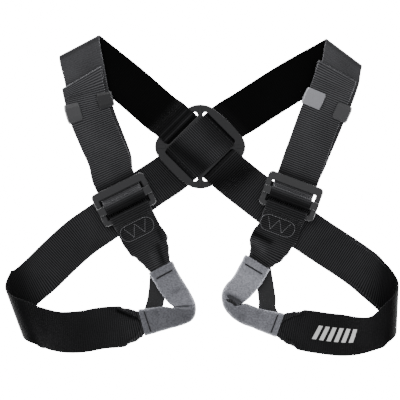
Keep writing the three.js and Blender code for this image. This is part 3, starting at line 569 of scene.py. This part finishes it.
class Strap:
    # A length of webbing along its stations, with a surface that stitches and prints can lie on
    def __init__(self, stations, paintedShades, paintedCreaseShades):
        self.stations = stations
        self.lengths = travelled(stations)
        self.paintedShades, self.paintedCreaseShades = paintedShades, paintedCreaseShades
        self.starts = {}
        for item, length in zip(stations, self.lengths):
            self.starts.setdefault(item.get("part"), length)
            if item["mouth"]:
                self.starts.setdefault("flare" if item["part"] == "lower" else "mouth", length)

    def at(self, distance, reach, over=0.0, side=1):
        item = stationAt(self.stations, self.lengths, distance)
        return self.on(item, reach, side * (webbing["thickness"] / 2 + over))

    def up(self, distance):
        return stationAt(self.stations, self.lengths, distance)["normal"]

    # One column of the table at a distance: its painted shade, or how strongly its ribs show
    def tone(self, distance, column):
        knots = sorted((self.starts[row[0]] + row[1], row[column]) for row in self.paintedShades)
        return float(np.interp(distance, *zip(*knots)))

    # Painted shade and highlight of the dark and light creases near one place
    def paintedCreaseShade(self, distance, reach):
        shade = 1.0
        for part, first, firstReach, second, secondReach, width, tone in self.paintedCreaseShades:
            start = Vector((self.starts[part] + first, firstReach))
            along = Vector((self.starts[part] + second, secondReach)) - start
            spot = Vector((distance, reach)) - start
            share = min(1, max(0, spot.dot(along) / along.length_squared))
            near = math.exp(-((spot - along * share).length / width) ** 2)
            shade *= 1 + (tone - 1) * near
        return shade

    def on(self, item, reach, offset):
        x, y = sectionPoint(reach, item["crease"])
        normal = sectionTurn(reach, item["crease"])
        x += normal[0] * offset
        y += normal[1] * offset
        aside = x * item["stretch"] * item.get("narrow", 1)
        return item["at"] + item["across"] * aside + item["normal"] * y

    def rows(self):
        result = []
        for index in range(len(self.stations) - 1):
            first, second = self.stations[index:index + 2]
            gap = self.lengths[index + 1] - self.lengths[index]
            steps = max(1, math.ceil(gap / detail["row"]))
            for step in range(steps):
                result.append((self.lengths[index] + gap * step / steps, mixed(first, second, step / steps)))
        return result + [(self.lengths[-1], self.stations[-1])]

    def build(self, name, material):
        over, bead = webbing["thickness"] / 2, webbing["edgeRound"]
        ring = [(reach, over) for reach in columns]
        ring += [(half - bead + bead * x, over * y) for x, y in rim]
        ring += [(reach, -over) for reach in columns[::-1]]
        ring += [(-(half - bead + bead * x), -over * y) for x, y in rim]
        vertices, uv, paintedShades, ribs = [], [], [], []
        for distance, item in self.rows():
            tone, rib = self.tone(distance, 2), self.tone(distance, 3)
            for reach, offset in ring:
                vertices.append(self.on(item, reach, offset))
                uv.append((reach / 1000, distance / 1000))
                # Painted shade from the table and the creases, with the edges a little lighter
                shade = tone * (webbing["edgeTone"] if abs(reach) > half - webbing["edgeBand"] else 1)
                paintedShades.append(shade * self.paintedCreaseShade(distance, reach))
                ribs.append(rib)
        count = len(ring)
        faces = []
        for row in range(len(vertices) // count - 1):
            faces += band(row * count, (row + 1) * count, count)
        faces += capped(0, len(vertices) - count, count)
        obj = newObject(name, vertices, faces, material, uv)
        for layer, values in (("tone", paintedShades), ("ribs", ribs)):
            obj.data.attributes.new(layer, "FLOAT", "POINT").data.foreach_set("value", values)
        flipIfInside(obj)
        return obj


def flipIfInside(obj):
    mesh = obj.data
    total = 0
    for polygon in mesh.polygons:
        corners = [mesh.vertices[index].co for index in polygon.vertices]
        for second, third in zip(corners[1:], corners[2:]):
            total += corners[0].dot(second.cross(third))
    if total < 0:
        mesh.flip_normals()


def nodesOf(name):
    material = bpy.data.materials.new(name)
    material.use_nodes = True
    tree = material.node_tree
    return material, tree, tree.nodes["Principled BSDF"]


# Numbers go straight into a node's sockets, outputs of other nodes are linked to them
def feed(tree, node, values):
    for socket, value in values.items():
        if isinstance(value, bpy.types.NodeSocket):
            tree.links.new(value, node.inputs[socket])
        else:
            node.inputs[socket].default_value = value


def addNode(tree, kind, values, **settings):
    node = tree.nodes.new("ShaderNode" + kind)
    for name, value in settings.items():
        setattr(node, name, value)
    feed(tree, node, values)
    return node


def calculate(tree, operation, *values):
    return addNode(tree, "Math", dict(enumerate(values)), operation=operation).outputs[0]


def attribute(tree, name):
    return addNode(tree, "Attribute", {}, attribute_name=name).outputs["Fac"]


# A colour scaled by the tone attribute, which holds painted light and shade
def paintedShadeColour(tree, colour):
    values = {0: colour, "Scale": attribute(tree, "tone")}
    return addNode(tree, "VectorMath", values, operation="SCALE").outputs[0]


def mixedColour(tree, share, dark, light):
    values = {"Factor": share, "A": (*dark, 1), "B": (*light, 1)}
    return addNode(tree, "Mix", values, data_type="RGBA").outputs["Result"]


def bumped(tree, height, strength, distance):
    return addNode(tree, "Bump", {"Height": height, "Strength": strength, "Distance": distance}).outputs[0]


weave = {"rib": 0.0022, "cord": 0.0013, "cordShare": 0.2, "speckle": 900, "speckled": 1.6, "raised": 0.42,
         "cloud": 25, "cloudShare": 0.5, "base": 0.22, "height": 0.00025, "strength": 0.75,
         "dark": (0.004, 0.004, 0.0046), "light": (0.05, 0.05, 0.053), "roughness": 0.75,
         "specular": 0.04}


def webbingMaterial(name):
    material, tree, shader = nodesOf(name)
    coordinates = addNode(tree, "UVMap", {}, uv_map="weave").outputs[0]
    split = addNode(tree, "SeparateXYZ", {0: coordinates})
    across, along = split.outputs[0], split.outputs[1]
    rib = calculate(tree, "SINE", calculate(tree, "MULTIPLY", along, 2 * math.pi / weave["rib"]))
    cord = calculate(tree, "SINE", calculate(tree, "MULTIPLY", across, 2 * math.pi / weave["cord"]))
    speckle = addNode(tree, "TexNoise", {"Vector": coordinates, "Scale": weave["speckle"], "Detail": 1})
    speckled = calculate(tree, "SUBTRACT", speckle.outputs[0], 0.5)
    ribs = calculate(tree, "MULTIPLY", rib, attribute(tree, "ribs"))
    dashes = calculate(tree, "MULTIPLY_ADD", cord, weave["cordShare"], ribs)
    raised = calculate(tree, "MULTIPLY_ADD", speckled, weave["speckled"], dashes)
    cloud = addNode(tree, "TexNoise", {"Vector": coordinates, "Scale": weave["cloud"], "Detail": 2})
    clouded = calculate(tree, "MULTIPLY_ADD", cloud.outputs[0], weave["cloudShare"], weave["base"])
    # The colour goes dark to light with the weave's height, so its grooves carry painted shade, and it also
    # varies at random in clouds and specks
    share = calculate(tree, "MULTIPLY_ADD", raised, weave["raised"], clouded)
    colour = mixedColour(tree, share, weave["dark"], weave["light"])
    feed(tree, shader, {"Base Color": paintedShadeColour(tree, colour), "Roughness": weave["roughness"],
                        "Specular IOR Level": weave["specular"],
                        "Normal": bumped(tree, raised, weave["strength"], weave["height"])})
    return material


grainStrength = 0.6


def plainMaterial(name, colour, roughness, metallic=0.0, grain=0.0, scale=900.0, specular=0.3, withPaintedShade=False,
                  contrast=0.18):
    material, tree, shader = nodesOf(name)
    coordinates = addNode(tree, "TexCoord", {}).outputs["Object"]
    noise = addNode(tree, "TexNoise", {"Vector": coordinates, "Scale": scale, "Detail": 3}).outputs[0]
    dark, light = ([value * share for value in colour] for share in (1 - contrast, 1 + contrast))
    mixedOut = mixedColour(tree, noise, dark, light)
    feed(tree, shader, {"Metallic": metallic, "Roughness": roughness, "Specular IOR Level": specular,
                        "Base Color": paintedShadeColour(tree, mixedOut) if withPaintedShade else mixedOut})
    if grain:
        feed(tree, shader, {"Normal": bumped(tree, noise, grainStrength, grain)})
    return material


looks = {
    "webbing": webbingMaterial("webbing"),
    "sleeve": plainMaterial("sleeveCloth", (0.15, 0.152, 0.17), 0.85, grain=0.00015, scale=650,
                            specular=0.1, withPaintedShade=True, contrast=0.75),
    "plate": plainMaterial("platePlastic", (0.013, 0.013, 0.0145), 0.42, grain=0.00002),
    "darkMetal": plainMaterial("darkMetal", (0.024, 0.024, 0.026), 0.42, 0.1, grain=0.00002),
    # The right buckle is the left one's black metal painted lighter, as painted light
    "greyMetal": plainMaterial("greyMetal", (0.032, 0.032, 0.034), 0.4, 0.1, grain=0.00002),
    "keeper": plainMaterial("keeperPlastic", (0.042, 0.042, 0.045), 0.5),
    "darkKeeper": plainMaterial("darkKeeperPlastic", (0.012, 0.012, 0.0135), 0.45),
    "paleKeeper": plainMaterial("paleKeeperPlastic", (0.23, 0.23, 0.25), 0.5),
    "thread": plainMaterial("thread", (0.16, 0.16, 0.17), 0.8),
    "seamThread": plainMaterial("seamThread", (0.05, 0.05, 0.055), 0.8),
    "blackThread": plainMaterial("blackThread", (0.006, 0.006, 0.007), 0.8),
    "bridge": plainMaterial("bridgeWebbing", (0.028, 0.028, 0.029), 0.85, grain=0.0001, scale=700,
                            specular=0.1),
    "print": plainMaterial("printInk", (0.6, 0.6, 0.6), 0.7),
}
print("materials made")


def keep(obj, *nodes, slotName=None):
    if nodes:
        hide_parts(*nodes)
    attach(obj, "root")
    return obj


# A stitch: its rings by share of its length and of its radius, lift, bow, and the share of a step it covers
stitch = {"rings": ((0.0, 0.3), (0.15, 0.85), (0.5, 1.0), (0.85, 0.85), (1.0, 0.3)), "sides": 6,
          "lift": 0.05, "bow": 0.35, "cover": 0.8}


class Threads:
    # Many short rounded stitches gathered into one mesh
    def __init__(self):
        self.vertices, self.faces = [], []

    def stitch(self, surface, first, second, middle, radius):
        start, end = (surface.at(spot.x, spot.y, stitch["lift"]) for spot in (first, second))
        along = (end - start).normalized()
        side = along.cross(surface.up(middle)).normalized()
        lift = side.cross(along)
        base, sides = len(self.vertices), stitch["sides"]
        for share, swell in stitch["rings"]:
            centre = start.lerp(end, share) + lift * radius * stitch["bow"] * math.sin(math.pi * share)
            for k in range(sides):
                angle = 2 * math.pi * k / sides
                outward = side * math.cos(angle) + lift * math.sin(angle)
                self.vertices.append(centre + outward * radius * swell)
        last = len(self.vertices) - sides
        for ring in range(base, last, sides):
            self.faces += band(ring, ring + sides, sides)
        self.faces += capped(base, last, sides)

    # Stitches along a line of (distance, reach) places on a strap or sleeve
    def along(self, surface, places, step, radius):
        points = [Vector(spot) for spot in places]
        for first, second in zip(points, points[1:]):
            count = max(1, round((second - first).length / step))
            for k in range(count):
                a, b = first.lerp(second, k / count), first.lerp(second, (k + stitch["cover"]) / count)
                self.stitch(surface, a, b, a.x, radius)

    # A dense bar of stitches that lie across the line
    def bar(self, surface, start, end, step, reach, radius):
        a, b = Vector(start), Vector(end)
        along = (b - a).normalized()
        aside = Vector((-along.y, along.x)) * reach
        count = max(1, round((b - a).length / step))
        for k in range(count + 1):
            centre = a.lerp(b, k / count)
            lean = along * (step * 0.5 * (1 if k % 2 else -1))
            self.stitch(surface, centre + aside + lean, centre - aside - lean, centre.x, radius)

    def build(self, name, look):
        return keep(newObject(name, self.vertices, self.faces, looks[look]))


class Sleeve:
    # A cloth tube from mouth to mouth round its turn, through rows of outer and inner edge points
    def __init__(self, rows, dents, paintedShades):
        self.paintedShades = paintedShades
        names = ("outerX", "outerY", "innerX", "innerY", "z", "half")
        self.rows = [dict(zip(names, row)) for row in rows]
        self.dents = dents
        self.samples = []
        for index in range(len(rows) - 1):
            for step in range(sleeve["steps"]):
                self.samples.append(self.section(index, step / sleeve["steps"]))
        self.samples.append(self.section(len(rows) - 2, 1.0))
        self.lengths = [0.0]
        for first, second in zip(self.samples, self.samples[1:]):
            self.lengths.append(self.lengths[-1] + (second["at"] - first["at"]).length)

    def column(self, first, second):
        points = [Vector((row[first] * halfSpan, row[second] * halfHeight, 0)) for row in self.rows]
        return [2 * points[0] - points[1]] + points + [2 * points[-1] - points[-2]]

    def section(self, index, share):
        outer, _ = curvePoint(self.column("outerX", "outerY"), index + 1, share)
        inner, _ = curvePoint(self.column("innerX", "innerY"), index + 1, share)
        first, second = self.rows[index], self.rows[index + 1]
        high = first["z"] + (second["z"] - first["z"]) * smooth(share)
        tall = first["half"] + (second["half"] - first["half"]) * smooth(share)
        at = (outer + inner) / 2
        at.z = high
        return {"at": at, "across": (inner - outer) / 2, "tall": tall, "row": index + share}

    def sectionAt(self, distance):
        first, second, share = around(self.samples, self.lengths, distance)
        item = {name: first[name] + (second[name] - first[name]) * share for name in ("tall", "row")}
        item.update({name: first[name].lerp(second[name], share) for name in ("at", "across")})
        return item

    # Dents and puckers, with painted shade in them: height, row, rows' reach, place across from -1 outer to
    # 1 inner, its reach, painted shade
    def relief(self, row, across, ends):
        total, shade = 0.0, float(np.interp(row, *zip(*self.paintedShades)))
        for height, centre, spread, aside, reach, dark in self.dents:
            near = math.exp(-((row - centre) / spread) ** 2 - ((across - aside) / reach) ** 2)
            total += height * near
            shade *= 1 - (1 - dark) * min(1, near * sleeve["dentShade"])
        total += sleeve["ripple"] * math.prod(math.sin(row * a + across * b) for a, b in sleeve["waves"])
        pastHem = smooth((ends - sleeve["hemWidth"]) / sleeve["rollIn"])
        hemmed = smooth(ends / sleeve["hemRise"]) * (1 - pastHem)
        rolled = sleeve["rolled"] * (1 - smooth(ends / sleeve["rollIn"]))
        return total * smooth(ends / sleeve["calm"]) + sleeve["hem"] * hemmed - rolled, shade

    def point(self, item, ends, x, y, nx, ny, outward):
        shade, out = 1.0, 0.0
        half = item["across"].length
        if outward and y >= 0:
            out, shade = self.relief(item["row"], x / half, ends)
        aside = item["across"].normalized() * (x + nx * out)
        return item["at"] + aside + Vector((0, 0, y + ny * out)), shade

    def at(self, distance, reach, over):
        item = self.sectionAt(distance)
        ends = min(distance, self.lengths[-1] - distance)
        share = reach / sleeve["reach"] * item["across"].length
        spot, _ = self.point(item, ends, share, item["tall"], 0, 1, True)
        return spot + Vector((0, 0, over))

    def up(self, distance):
        return Vector((0, 0, 1))

    def build(self, name, node):
        vertices, uv, paintedShades = [], [], []
        for outward in (1, 0):
            for item, length in zip(self.samples, self.lengths):
                inset = 0 if outward else sleeve["wall"]
                ends = min(length, self.lengths[-1] - length)
                corner = min(item["tall"] - sleeve["cornerRoom"],
                             sleeve["corner"] + item["tall"] * sleeve["cornerShare"]) - inset
                ring = roundedRing(item["across"].length - inset, item["tall"] - inset, corner)
                for x, y, nx, ny in ring:
                    spot, shade = self.point(item, ends, x, y, nx, ny, outward)
                    vertices.append(spot)
                    uv.append((x / 1000, length / 1000))
                    paintedShades.append(shade if outward else sleeve["insidePaintedShade"])
        count, inside = len(ring), len(ring) * len(self.samples)
        faces = []
        for row in range(0, inside - count, count):
            faces += band(row, row + count, count) + band(inside + row + count, inside + row, count)
        faces += band(inside, 0, count) + band(inside - count, 2 * inside - count, count)
        obj = newObject(name, vertices, faces, looks["sleeve"], uv)
        obj.data.attributes.new("tone", "FLOAT", "POINT").data.foreach_set("value", paintedShades)
        flipIfInside(obj)
        return keep(obj, node, slotName="sleeve_cloth")


# Points and normals round a sleeve's section, closer together over its two flat sides
def roundedRing(halfWidth, halfTall, corner):
    points = []
    flatX, flatY = halfWidth - corner, halfTall - corner
    arcs = ((1, 1), (-1, 1), (-1, -1), (1, -1))
    for quarter, (sideX, sideY) in enumerate(arcs):
        for step in range(detail["corner"] + 1):
            angle = math.pi / 2 * (quarter + step / detail["corner"])
            nx, ny = math.cos(angle), math.sin(angle)
            points.append((sideX * flatX + corner * nx, sideY * flatY + corner * ny, nx, ny))
        if quarter in (0, 2):
            up = 1.0 if quarter == 0 else -1.0
            for step in range(1, detail["flat"]):
                points.append((flatX * (1 - 2 * step / detail["flat"]) * up, halfTall * up, 0.0, up))
    return points


stationsA = strapStations(sides["right"], shoulders["left"], sides["left"], overBars)
stationsB = strapStations(sides["left"], shoulders["right"], sides["right"], overCentre)
# Painted light and shade along each strap, and how strongly its ribs show: its part, the distance after that
# part starts, tone of the painted shade, ribs
paintedShades = [("loop", 0, 0.5, 0.6), ("upper", 0, 0.65, 0.9), ("upper", 18, 0.95, 1), ("lower", 20, 1.0, 1),
         ("lower", 45, 1.0, 1), ("lower", 75, 0.5, 0.6), ("lower", 110, 0.36, 0.3), ("bend", -18, 0.3, 0.2),
         ("bend", 4, 0.2, 0.2), ("bend", 26, 0.15, 0.2), ("bend", 48, 0.3, 0.8), ("bend", 66, 0.75, 1),
         ("back", 60, 0.85, 1),
         ("plate", -40, 0.85, 1), ("plate", -4, 0.5, 1), ("plate", 16, 0.55, 1), ("plate", 40, 0.95, 1),
         ("plate", 62, 0.3, 0.6), ("rising", 14, 0.05, 0.5), ("fold", -4, 0.04, 0.4), ("fold", 3, 0.6, 0.1),
         ("front", 1, 1.9, 0.1), ("front", 25, 1.8, 0.2), ("front", 40, 1.2, 1), ("roll", -20, 1.3, 1),
         ("roll", 6, 0.3, 0.4), ("roll", 12, 0.3, 0.4), ("roll", 16, 1.0, 0.6), ("roll", 20, 2.6, 0.5),
         ("roll", 26, 2.2, 0.5), ("roll", 31, 0.9, 0.5), ("roll", 35, 0.35, 0.5), ("roll", 40, 0.6, 0.8),
         ("roll", 46, 1.25, 1), ("tail", 3, 1.25, 1), ("tail", 90, 1.8, 1)]
# Painted shade and highlights along creases and folds: part, distance and reach of both ends, width, tone
paintedCreaseShadesA = [("flare", 1, 5, 14, 15, 1.6, 0.1), ("flare", 5, 8, 17, 17, 2.5, 1.5),
            ("mouth", -27, 19, -25, 1, 3.0, 0.2), ("mouth", -19, 15, -14, 4, 4.0, 1.7),
            ("mouth", -3, -9, -2, 9, 2.0, 0.5),
            ("plate", 63, -19, 63, 19, 0.9, 0.3), ("plate", 66, -19, 66, 19, 1.0, 2.2),
            ("plate", 70, -19, 70, 19, 0.9, 0.3), ("plate", 73, -19, 73, 19, 1.0, 2.2),
            ("plate", -10, -18, -22, 18, 14, 0.35)]
paintedCreaseShadesB = [("flare", 1, -4, 24, -17, 2.2, 0.08), ("flare", 4, -9, 22, -20, 2.0, 1.5),
            ("mouth", -20, -8, -2, -5, 2.5, 0.3), ("mouth", -15, 2, -3, 2, 2.5, 1.4),
            ("mouth", -34, -17, -24, -15, 2.5, 0.5),
            ("plate", 14, -18, 20, 18, 8, 0.35)]
strapA = Strap(stationsA, paintedShades, paintedCreaseShadesA)
strapB = Strap(stationsB, paintedShades, paintedCreaseShadesB)
keep(strapA.build("leftShoulderStrap", looks["webbing"]), "left_shoulder_strap", slotName="webbing")
keep(strapB.build("rightShoulderStrap", looks["webbing"]), "right_shoulder_strap", slotName="webbing")
print("straps built", round(strapA.lengths[-1]), round(strapB.lengths[-1]))

# Rows of a sleeve from its upper to its lower mouth: outer x, y, inner x, y, height of its middle,
# half its height. Then its dents, and the painted light and shade at some of its rows.
tube = sleeveHeight / 2
rightSleeve = Sleeve([
    (0.2241, -0.3741, 0.3479, -0.4674, sleeveMouth, tube),
    (0.1913, -0.4449, 0.3171, -0.5345, sleeveMouth, tube),
    (0.1564, -0.5188, 0.2837, -0.5921, sleeveMouth - 0.4, tube),
    (0.123, -0.5633, 0.2529, -0.6347, sleeveLow + 0.8, tube + 0.2),
    (0.1055, -0.6015, 0.2246, -0.6673, 4.8, 4.5),
    (0.1009, -0.6454, 0.2046, -0.6873, 6.2, 5.9),
    (0.1076, -0.688, 0.1995, -0.6898, 7.0, 6.6),
    (0.1266, -0.7312, 0.2046, -0.6848, 8.2, 5.4),
    (0.1605, -0.7726, 0.2231, -0.6773, 10.0, 4.0),
    (0.2067, -0.8076, 0.2606, -0.6936, 10.3, 3.5),
    (0.2632, -0.8327, 0.3068, -0.7137, 9.0, tube),
    (0.3196, -0.8628, 0.3633, -0.7287, 6.6, tube),
    (0.3792, -0.8904, 0.4223, -0.7444, sleeveMouth, tube),
], [(-3.8, 5.3, 0.9, 0.62, 0.42, 0.04), (-2.2, 4.4, 0.5, -0.1, 0.5, 0.55), (1.0, 3.5, 0.5, 0.2, 0.6, 1),
    (0.7, 7.2, 0.5, 0.0, 0.6, 1), (-1.0, 8.6, 0.35, -0.4, 0.5, 0.8), (0.6, 2.6, 0.6, 0.7, 0.3, 1),
    (-0.9, 9.8, 0.3, 0.5, 0.4, 0.85), (0.6, 10.4, 0.5, -0.2, 0.5, 1)],
    [(0, 1.15), (1.5, 1.7), (3, 1.5), (5, 1.0), (7, 0.8), (9, 0.95), (12, 1.0)])
leftSleeve = Sleeve([
    (-0.1507, -0.4154, -0.2709, -0.4919, sleeveMouth, tube),
    (-0.122, -0.4825, -0.2375, -0.5608, sleeveMouth, tube),
    (-0.086, -0.5545, -0.199, -0.636, sleeveMouth - 0.4, tube),
    (-0.0573, -0.6128, -0.1707, -0.6767, sleeveLow + 0.8, tube + 0.2),
    (-0.0377, -0.6598, -0.1528, -0.6942, 4.8, 4.5),
    (-0.0285, -0.7036, -0.1451, -0.7018, 6.6, 6.2),
    (-0.0326, -0.7487, -0.1476, -0.7049, 8.4, 5.2),
    (-0.0511, -0.7857, -0.163, -0.7024, 10.0, 4.0),
    (-0.0963, -0.812, -0.1887, -0.6974, 10.2, 3.5),
    (-0.1528, -0.8327, -0.2221, -0.6999, 9.3, tube),
    (-0.2169, -0.8565, -0.2688, -0.7086, 7, tube),
    (-0.2904, -0.8816, -0.3253, -0.7187, sleeveMouth, tube),
], [(-3.0, 4.75, 0.2, 0.3, 0.8, 0.1), (1.0, 5.4, 0.4, 0.3, 0.6, 1), (-0.9, 2.2, 0.22, -0.1, 0.4, 0.7),
    (0.9, 3.0, 0.5, 0.2, 0.5, 1), (0.9, 8.6, 0.6, 0.72, 0.25, 1), (-0.6, 9.4, 0.3, 0.6, 0.3, 0.8),
    (-0.8, 7.0, 0.4, -0.4, 0.4, 0.85), (0.5, 1.2, 0.4, 0.4, 0.4, 1)],
    [(0, 0.8), (1.5, 1.05), (4, 1.15), (5, 0.65), (7, 0.58), (9, 0.62), (11, 0.68)])
rightSleeve.build("rightEyeSleeve", "right_eye_sleeve")
leftSleeve.build("leftEyeSleeve", "left_eye_sleeve")
print("sleeves built", round(rightSleeve.lengths[-1]), round(leftSleeve.lengths[-1]))


# Points of a rounded rectangle, anticlockwise from its right side
def roundedCorners(halfX, halfY, middleY, radius, steps=6):
    points = []
    for quarter, (sx, sy) in enumerate(((1, 1), (-1, 1), (-1, -1), (1, -1))):
        for step in range(steps + 1):
            angle = math.pi / 2 * (quarter + step / steps)
            points.append((sx * (halfX - radius) + radius * math.cos(angle),
                           middleY + sy * (halfY - radius) + radius * math.sin(angle)))
    return points


# The oval on the sewn end of a strap and the zigzag in it
oval = {"half": 18.5, "tall": 9.0, "corner": 8.5, "after": 30, "zigzag": 12.5, "zigzagRoom": 2.6,
        "step": 2.1, "radius": 0.3, "right": 2.5, "left": 1.5}
# Dark bars over both mouths of a sleeve: distance from the mouth, reach, step, length of a stitch, radius
tacks = {"upper": (8.5, 8.5, 0.7, 1.0, 0.42), "lower": (6.5, 10, 0.7, 0.8, 0.4)}
# Seams along the back strap: where they start and end on it, and their reach across it
backSeams = {"lines": ((4, 62, 18.6), (6, 40, -18.6)), "step": 2.6, "radius": 0.22}
for name, strap in (("right", strapA), ("left", strapB)):
    middle = strap.starts["upper"] - (buckle["bottom"] + 20) + oval["after"]
    outline = roundedCorners(oval["half"], oval["tall"], middle, oval["corner"], 4)
    outline = [(y, oval[name] + x) for x, y in outline + outline[:1]]
    tall = oval["tall"] - oval["zigzagRoom"]
    zigzag = [(middle + tall * (1 if index % 2 else -1), oval[name] + oval["zigzag"] * (index / 2 - 1))
              for index in range(5)]
    threads = Threads()
    threads.along(strap, outline, oval["step"], oval["radius"])
    threads.along(strap, zigzag, oval["step"], oval["radius"])
    threads.build(name + "BoxStitch", "thread")
for name, built in (("right", rightSleeve), ("left", leftSleeve)):
    threads = Threads()
    for mouth, (inset, reach, step, length, radius) in tacks.items():
        distance = inset if mouth == "upper" else built.lengths[-1] - inset
        threads.bar(built, (distance, -reach), (distance, reach), step, length, radius)
    threads.build(name + "SleeveTacks", "blackThread")
threads = Threads()
for start, end, reach in backSeams["lines"]:
    line = [(strapA.starts["back"] + distance, reach) for distance in (start, end)]
    threads.along(strapA, line, backSeams["step"], backSeams["radius"])
threads.build("backSeams", "seamThread")
print("stitches built")

cadLooks = {"left_buckle_frame": "darkMetal", "left_buckle_slider": "darkMetal",
            "right_buckle_frame": "greyMetal", "right_buckle_slider": "greyMetal",
            "left_outer_keeper": "keeper", "left_inner_keeper": "darkKeeper",
            "right_outer_keeper": "keeper", "right_inner_keeper": "paleKeeper",
            "left_eye_bridge": "bridge", "right_eye_bridge": "bridge"}
for node, look in cadLooks.items():
    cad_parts[node].data.materials.clear()
    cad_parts[node].data.materials.append(looks[look])


def curveMesh(outline, holes, thick, bevel):
    flat = bpy.data.curves.new("flat", "CURVE")
    flat.dimensions, flat.fill_mode = "2D", "BOTH"
    flat.extrude, flat.bevel_depth, flat.offset = thick / 2 - bevel, bevel, -bevel
    flat.bevel_resolution = 2
    for points in [outline] + holes:
        spline = flat.splines.new("POLY")
        spline.points.add(len(points) - 1)
        spline.use_cyclic_u = True
        for point, (x, y) in zip(spline.points, points):
            point.co = (x, y, 0, 1)
    shape = linkNew("flat", flat)
    mesh = bpy.data.meshes.new_from_object(shape.evaluated_get(bpy.context.evaluated_depsgraph_get()))
    bpy.data.objects.remove(shape)
    vertices = [vertex.co.copy() for vertex in mesh.vertices]
    faces = [tuple(polygon.vertices) for polygon in mesh.polygons]
    return vertices, faces


def turnedBy(points, angle):
    c, s = math.cos(angle), math.sin(angle)
    return [(x * c - y * s, x * s + y * c) for x, y in points]


def plateOutline():
    reach = plateSize["across"] / 2
    radii = [plateSize["sideRadius"], plateSize["endRadius"]] * 2
    points = []
    for quarter, radius in enumerate(radii):
        following = radii[(quarter + 1) % 4]
        centre = reach - radius
        arc = []
        for k in range(13):
            angle = math.pi * k / 24
            arc.append((centre + radius * math.cos(angle), centre + radius * math.sin(angle)))
        side = []
        for step in range(1, 8):
            t = step / 8
            x = (1 - t) ** 2 * (reach - radius) + t * t * (following - reach)
            side.append((x, reach + 4 * t * (1 - t) * plateSize["bulge"]))
        points += turnedBy(arc + side, math.pi / 2 * quarter)
    return points


# The short raised rib in each corner of the plate
plateRib = {"half": 4.5, "wide": 1.5, "radius": 1.4, "inset": 6.6, "sunk": 0.3, "height": 0.8}
slotHalf = half + plateSize["slotEndRoom"]
slotTall = plateSize["slotWidth"] / 2
slotCorner = slotTall - plateSize["slotCornerRoom"]
slot = roundedCorners(slotHalf, slotTall, plateSize["slotDistance"], slotCorner)
slots = [turnedBy(slot, math.pi / 2 * quarter) for quarter in range(4)]
vertices, faces = curveMesh(plateOutline(), slots, plateSize["thickness"], plateSize["bevel"])
ribOutline = roundedCorners(plateRib["half"], plateRib["wide"], 0, plateRib["radius"], 4)
for quarter in range(4):
    reach = plateSize["across"] / 2 * math.sqrt(2)
    reach -= plateSize["endRadius" if quarter % 2 else "sideRadius"] * (math.sqrt(2) - 1)
    flatRib = [(x + reach - plateRib["inset"], y) for x, y in ribOutline]
    flatRib = turnedBy(flatRib, math.pi / 4 + math.pi / 2 * quarter)
    base, count = len(vertices), len(flatRib)
    for height in (-plateRib["sunk"], plateRib["height"]):
        vertices += [Vector((x, y, plateSize["thickness"] / 2 + height)) for x, y in flatRib]
    faces += band(base, base + count, count) + capped(base, base + count, count)
turnPlate = Matrix.Rotation(-math.pi / 4, 3, "Z")
plateMiddle = place(dict(plateAt, z=pitch + plateSize["thickness"] / 2))
placed = [turnPlate @ vertex + plateMiddle for vertex in vertices]
plateVisual = newObject("backPlate", placed, faces, looks["plate"], smoothFaces=False)
keep(plateVisual, "back_plate", slotName="plate_plastic")
print("plate built")

# Generic slanted bars printed on the waist
label = {"part": "lower", "after": 99.0, "bars": 6, "step": 7.6, "wide": 4.4, "tall": 7.5, "lean": 2.6,
         "lift": 0.12}
labelVertices, labelFaces = [], []
for bar in range(label["bars"]):
    centre = strapA.starts[label["part"]] + label["after"] + bar * label["step"]
    base = len(labelVertices)
    for row in range(5):
        for column in range(3):
            upward = (row / 4 - 0.5) * 2
            along = centre + (column / 2 - 0.5) * label["wide"] + label["lean"] * upward
            labelVertices.append(strapA.at(along, label["tall"] * upward, label["lift"], -1))
    for row in range(4):
        for column in range(2):
            a = base + row * 3 + column
            labelFaces.append((a, a + 1, a + 4, a + 3))
keep(newObject("waistPrint", labelVertices, labelFaces, looks["print"]))

# Rounded edges, in metres
edgeRounding = {"buckle_frame": 0.0006, "outer_keeper": 0.0011, "inner_keeper": 0.0011}
for node, width in edgeRounding.items():
    for side in ("left_", "right_"):
        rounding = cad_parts[side + node].modifiers.new("rounding", "BEVEL")
        rounding.width, rounding.segments = width, 3
        rounding.limit_method, rounding.angle_limit = "ANGLE", 0.5

# The stage in metres, its lights by place, size and power
stage = {"floor": (0.9, 0.9, 0.9), "glow": 16.0, "floorSize": 3, "floorDrop": 0.0004, "world": 0.8,
         "key": ((-0.7, 0.9, 1.3), 1.0, 14.0), "fill": ((0.9, -0.5, 1.2), 1.4, 4.0),
         "lens": 135.0, "distance": 1.575, "aim": (-0.0012, -0.0046)}
floorMaterial, floorTree, floorShader = nodesOf("floorWhite")
feed(floorTree, floorShader, {"Base Color": (*stage["floor"], 1), "Roughness": 0.9,
                              "Emission Color": (1, 1, 1, 1), "Emission Strength": stage["glow"]})
floorMesh = bpy.data.meshes.new("floor")
floorCorners = ((-1, -1), (1, -1), (1, 1), (-1, 1))
floorMesh.from_pydata([(x * stage["floorSize"], y * stage["floorSize"], -stage["floorDrop"])
                       for x, y in floorCorners], [], [(0, 1, 2, 3)])
floorMesh.materials.append(floorMaterial)
floor = linkNew("floor", floorMesh)


def areaLight(name, at, size, energy):
    data = bpy.data.lights.new(name, "AREA")
    data.shape, data.size, data.energy = "SQUARE", size, energy
    lamp = linkNew(name, data)
    lamp.location = at
    lamp.rotation_mode = "QUATERNION"
    lamp.rotation_quaternion = (-Vector(at)).to_track_quat("-Z", "Y")


areaLight("key", *stage["key"])
areaLight("fill", *stage["fill"])
world = bpy.context.scene.world or bpy.data.worlds.new("studio")
bpy.context.scene.world = world
world.use_nodes = True
background = world.node_tree.nodes["Background"]
feed(world.node_tree, background, {"Color": (1, 1, 1, 1), "Strength": stage["world"]})

camera = linkNew("camera", bpy.data.cameras.new("camera"))
camera.data.lens, camera.data.sensor_width = stage["lens"], 36
camera.location = (*stage["aim"], stage["distance"])
camera.data.clip_start, camera.data.clip_end = 0.1, 10
bpy.context.scene.camera = camera
print("stage set")
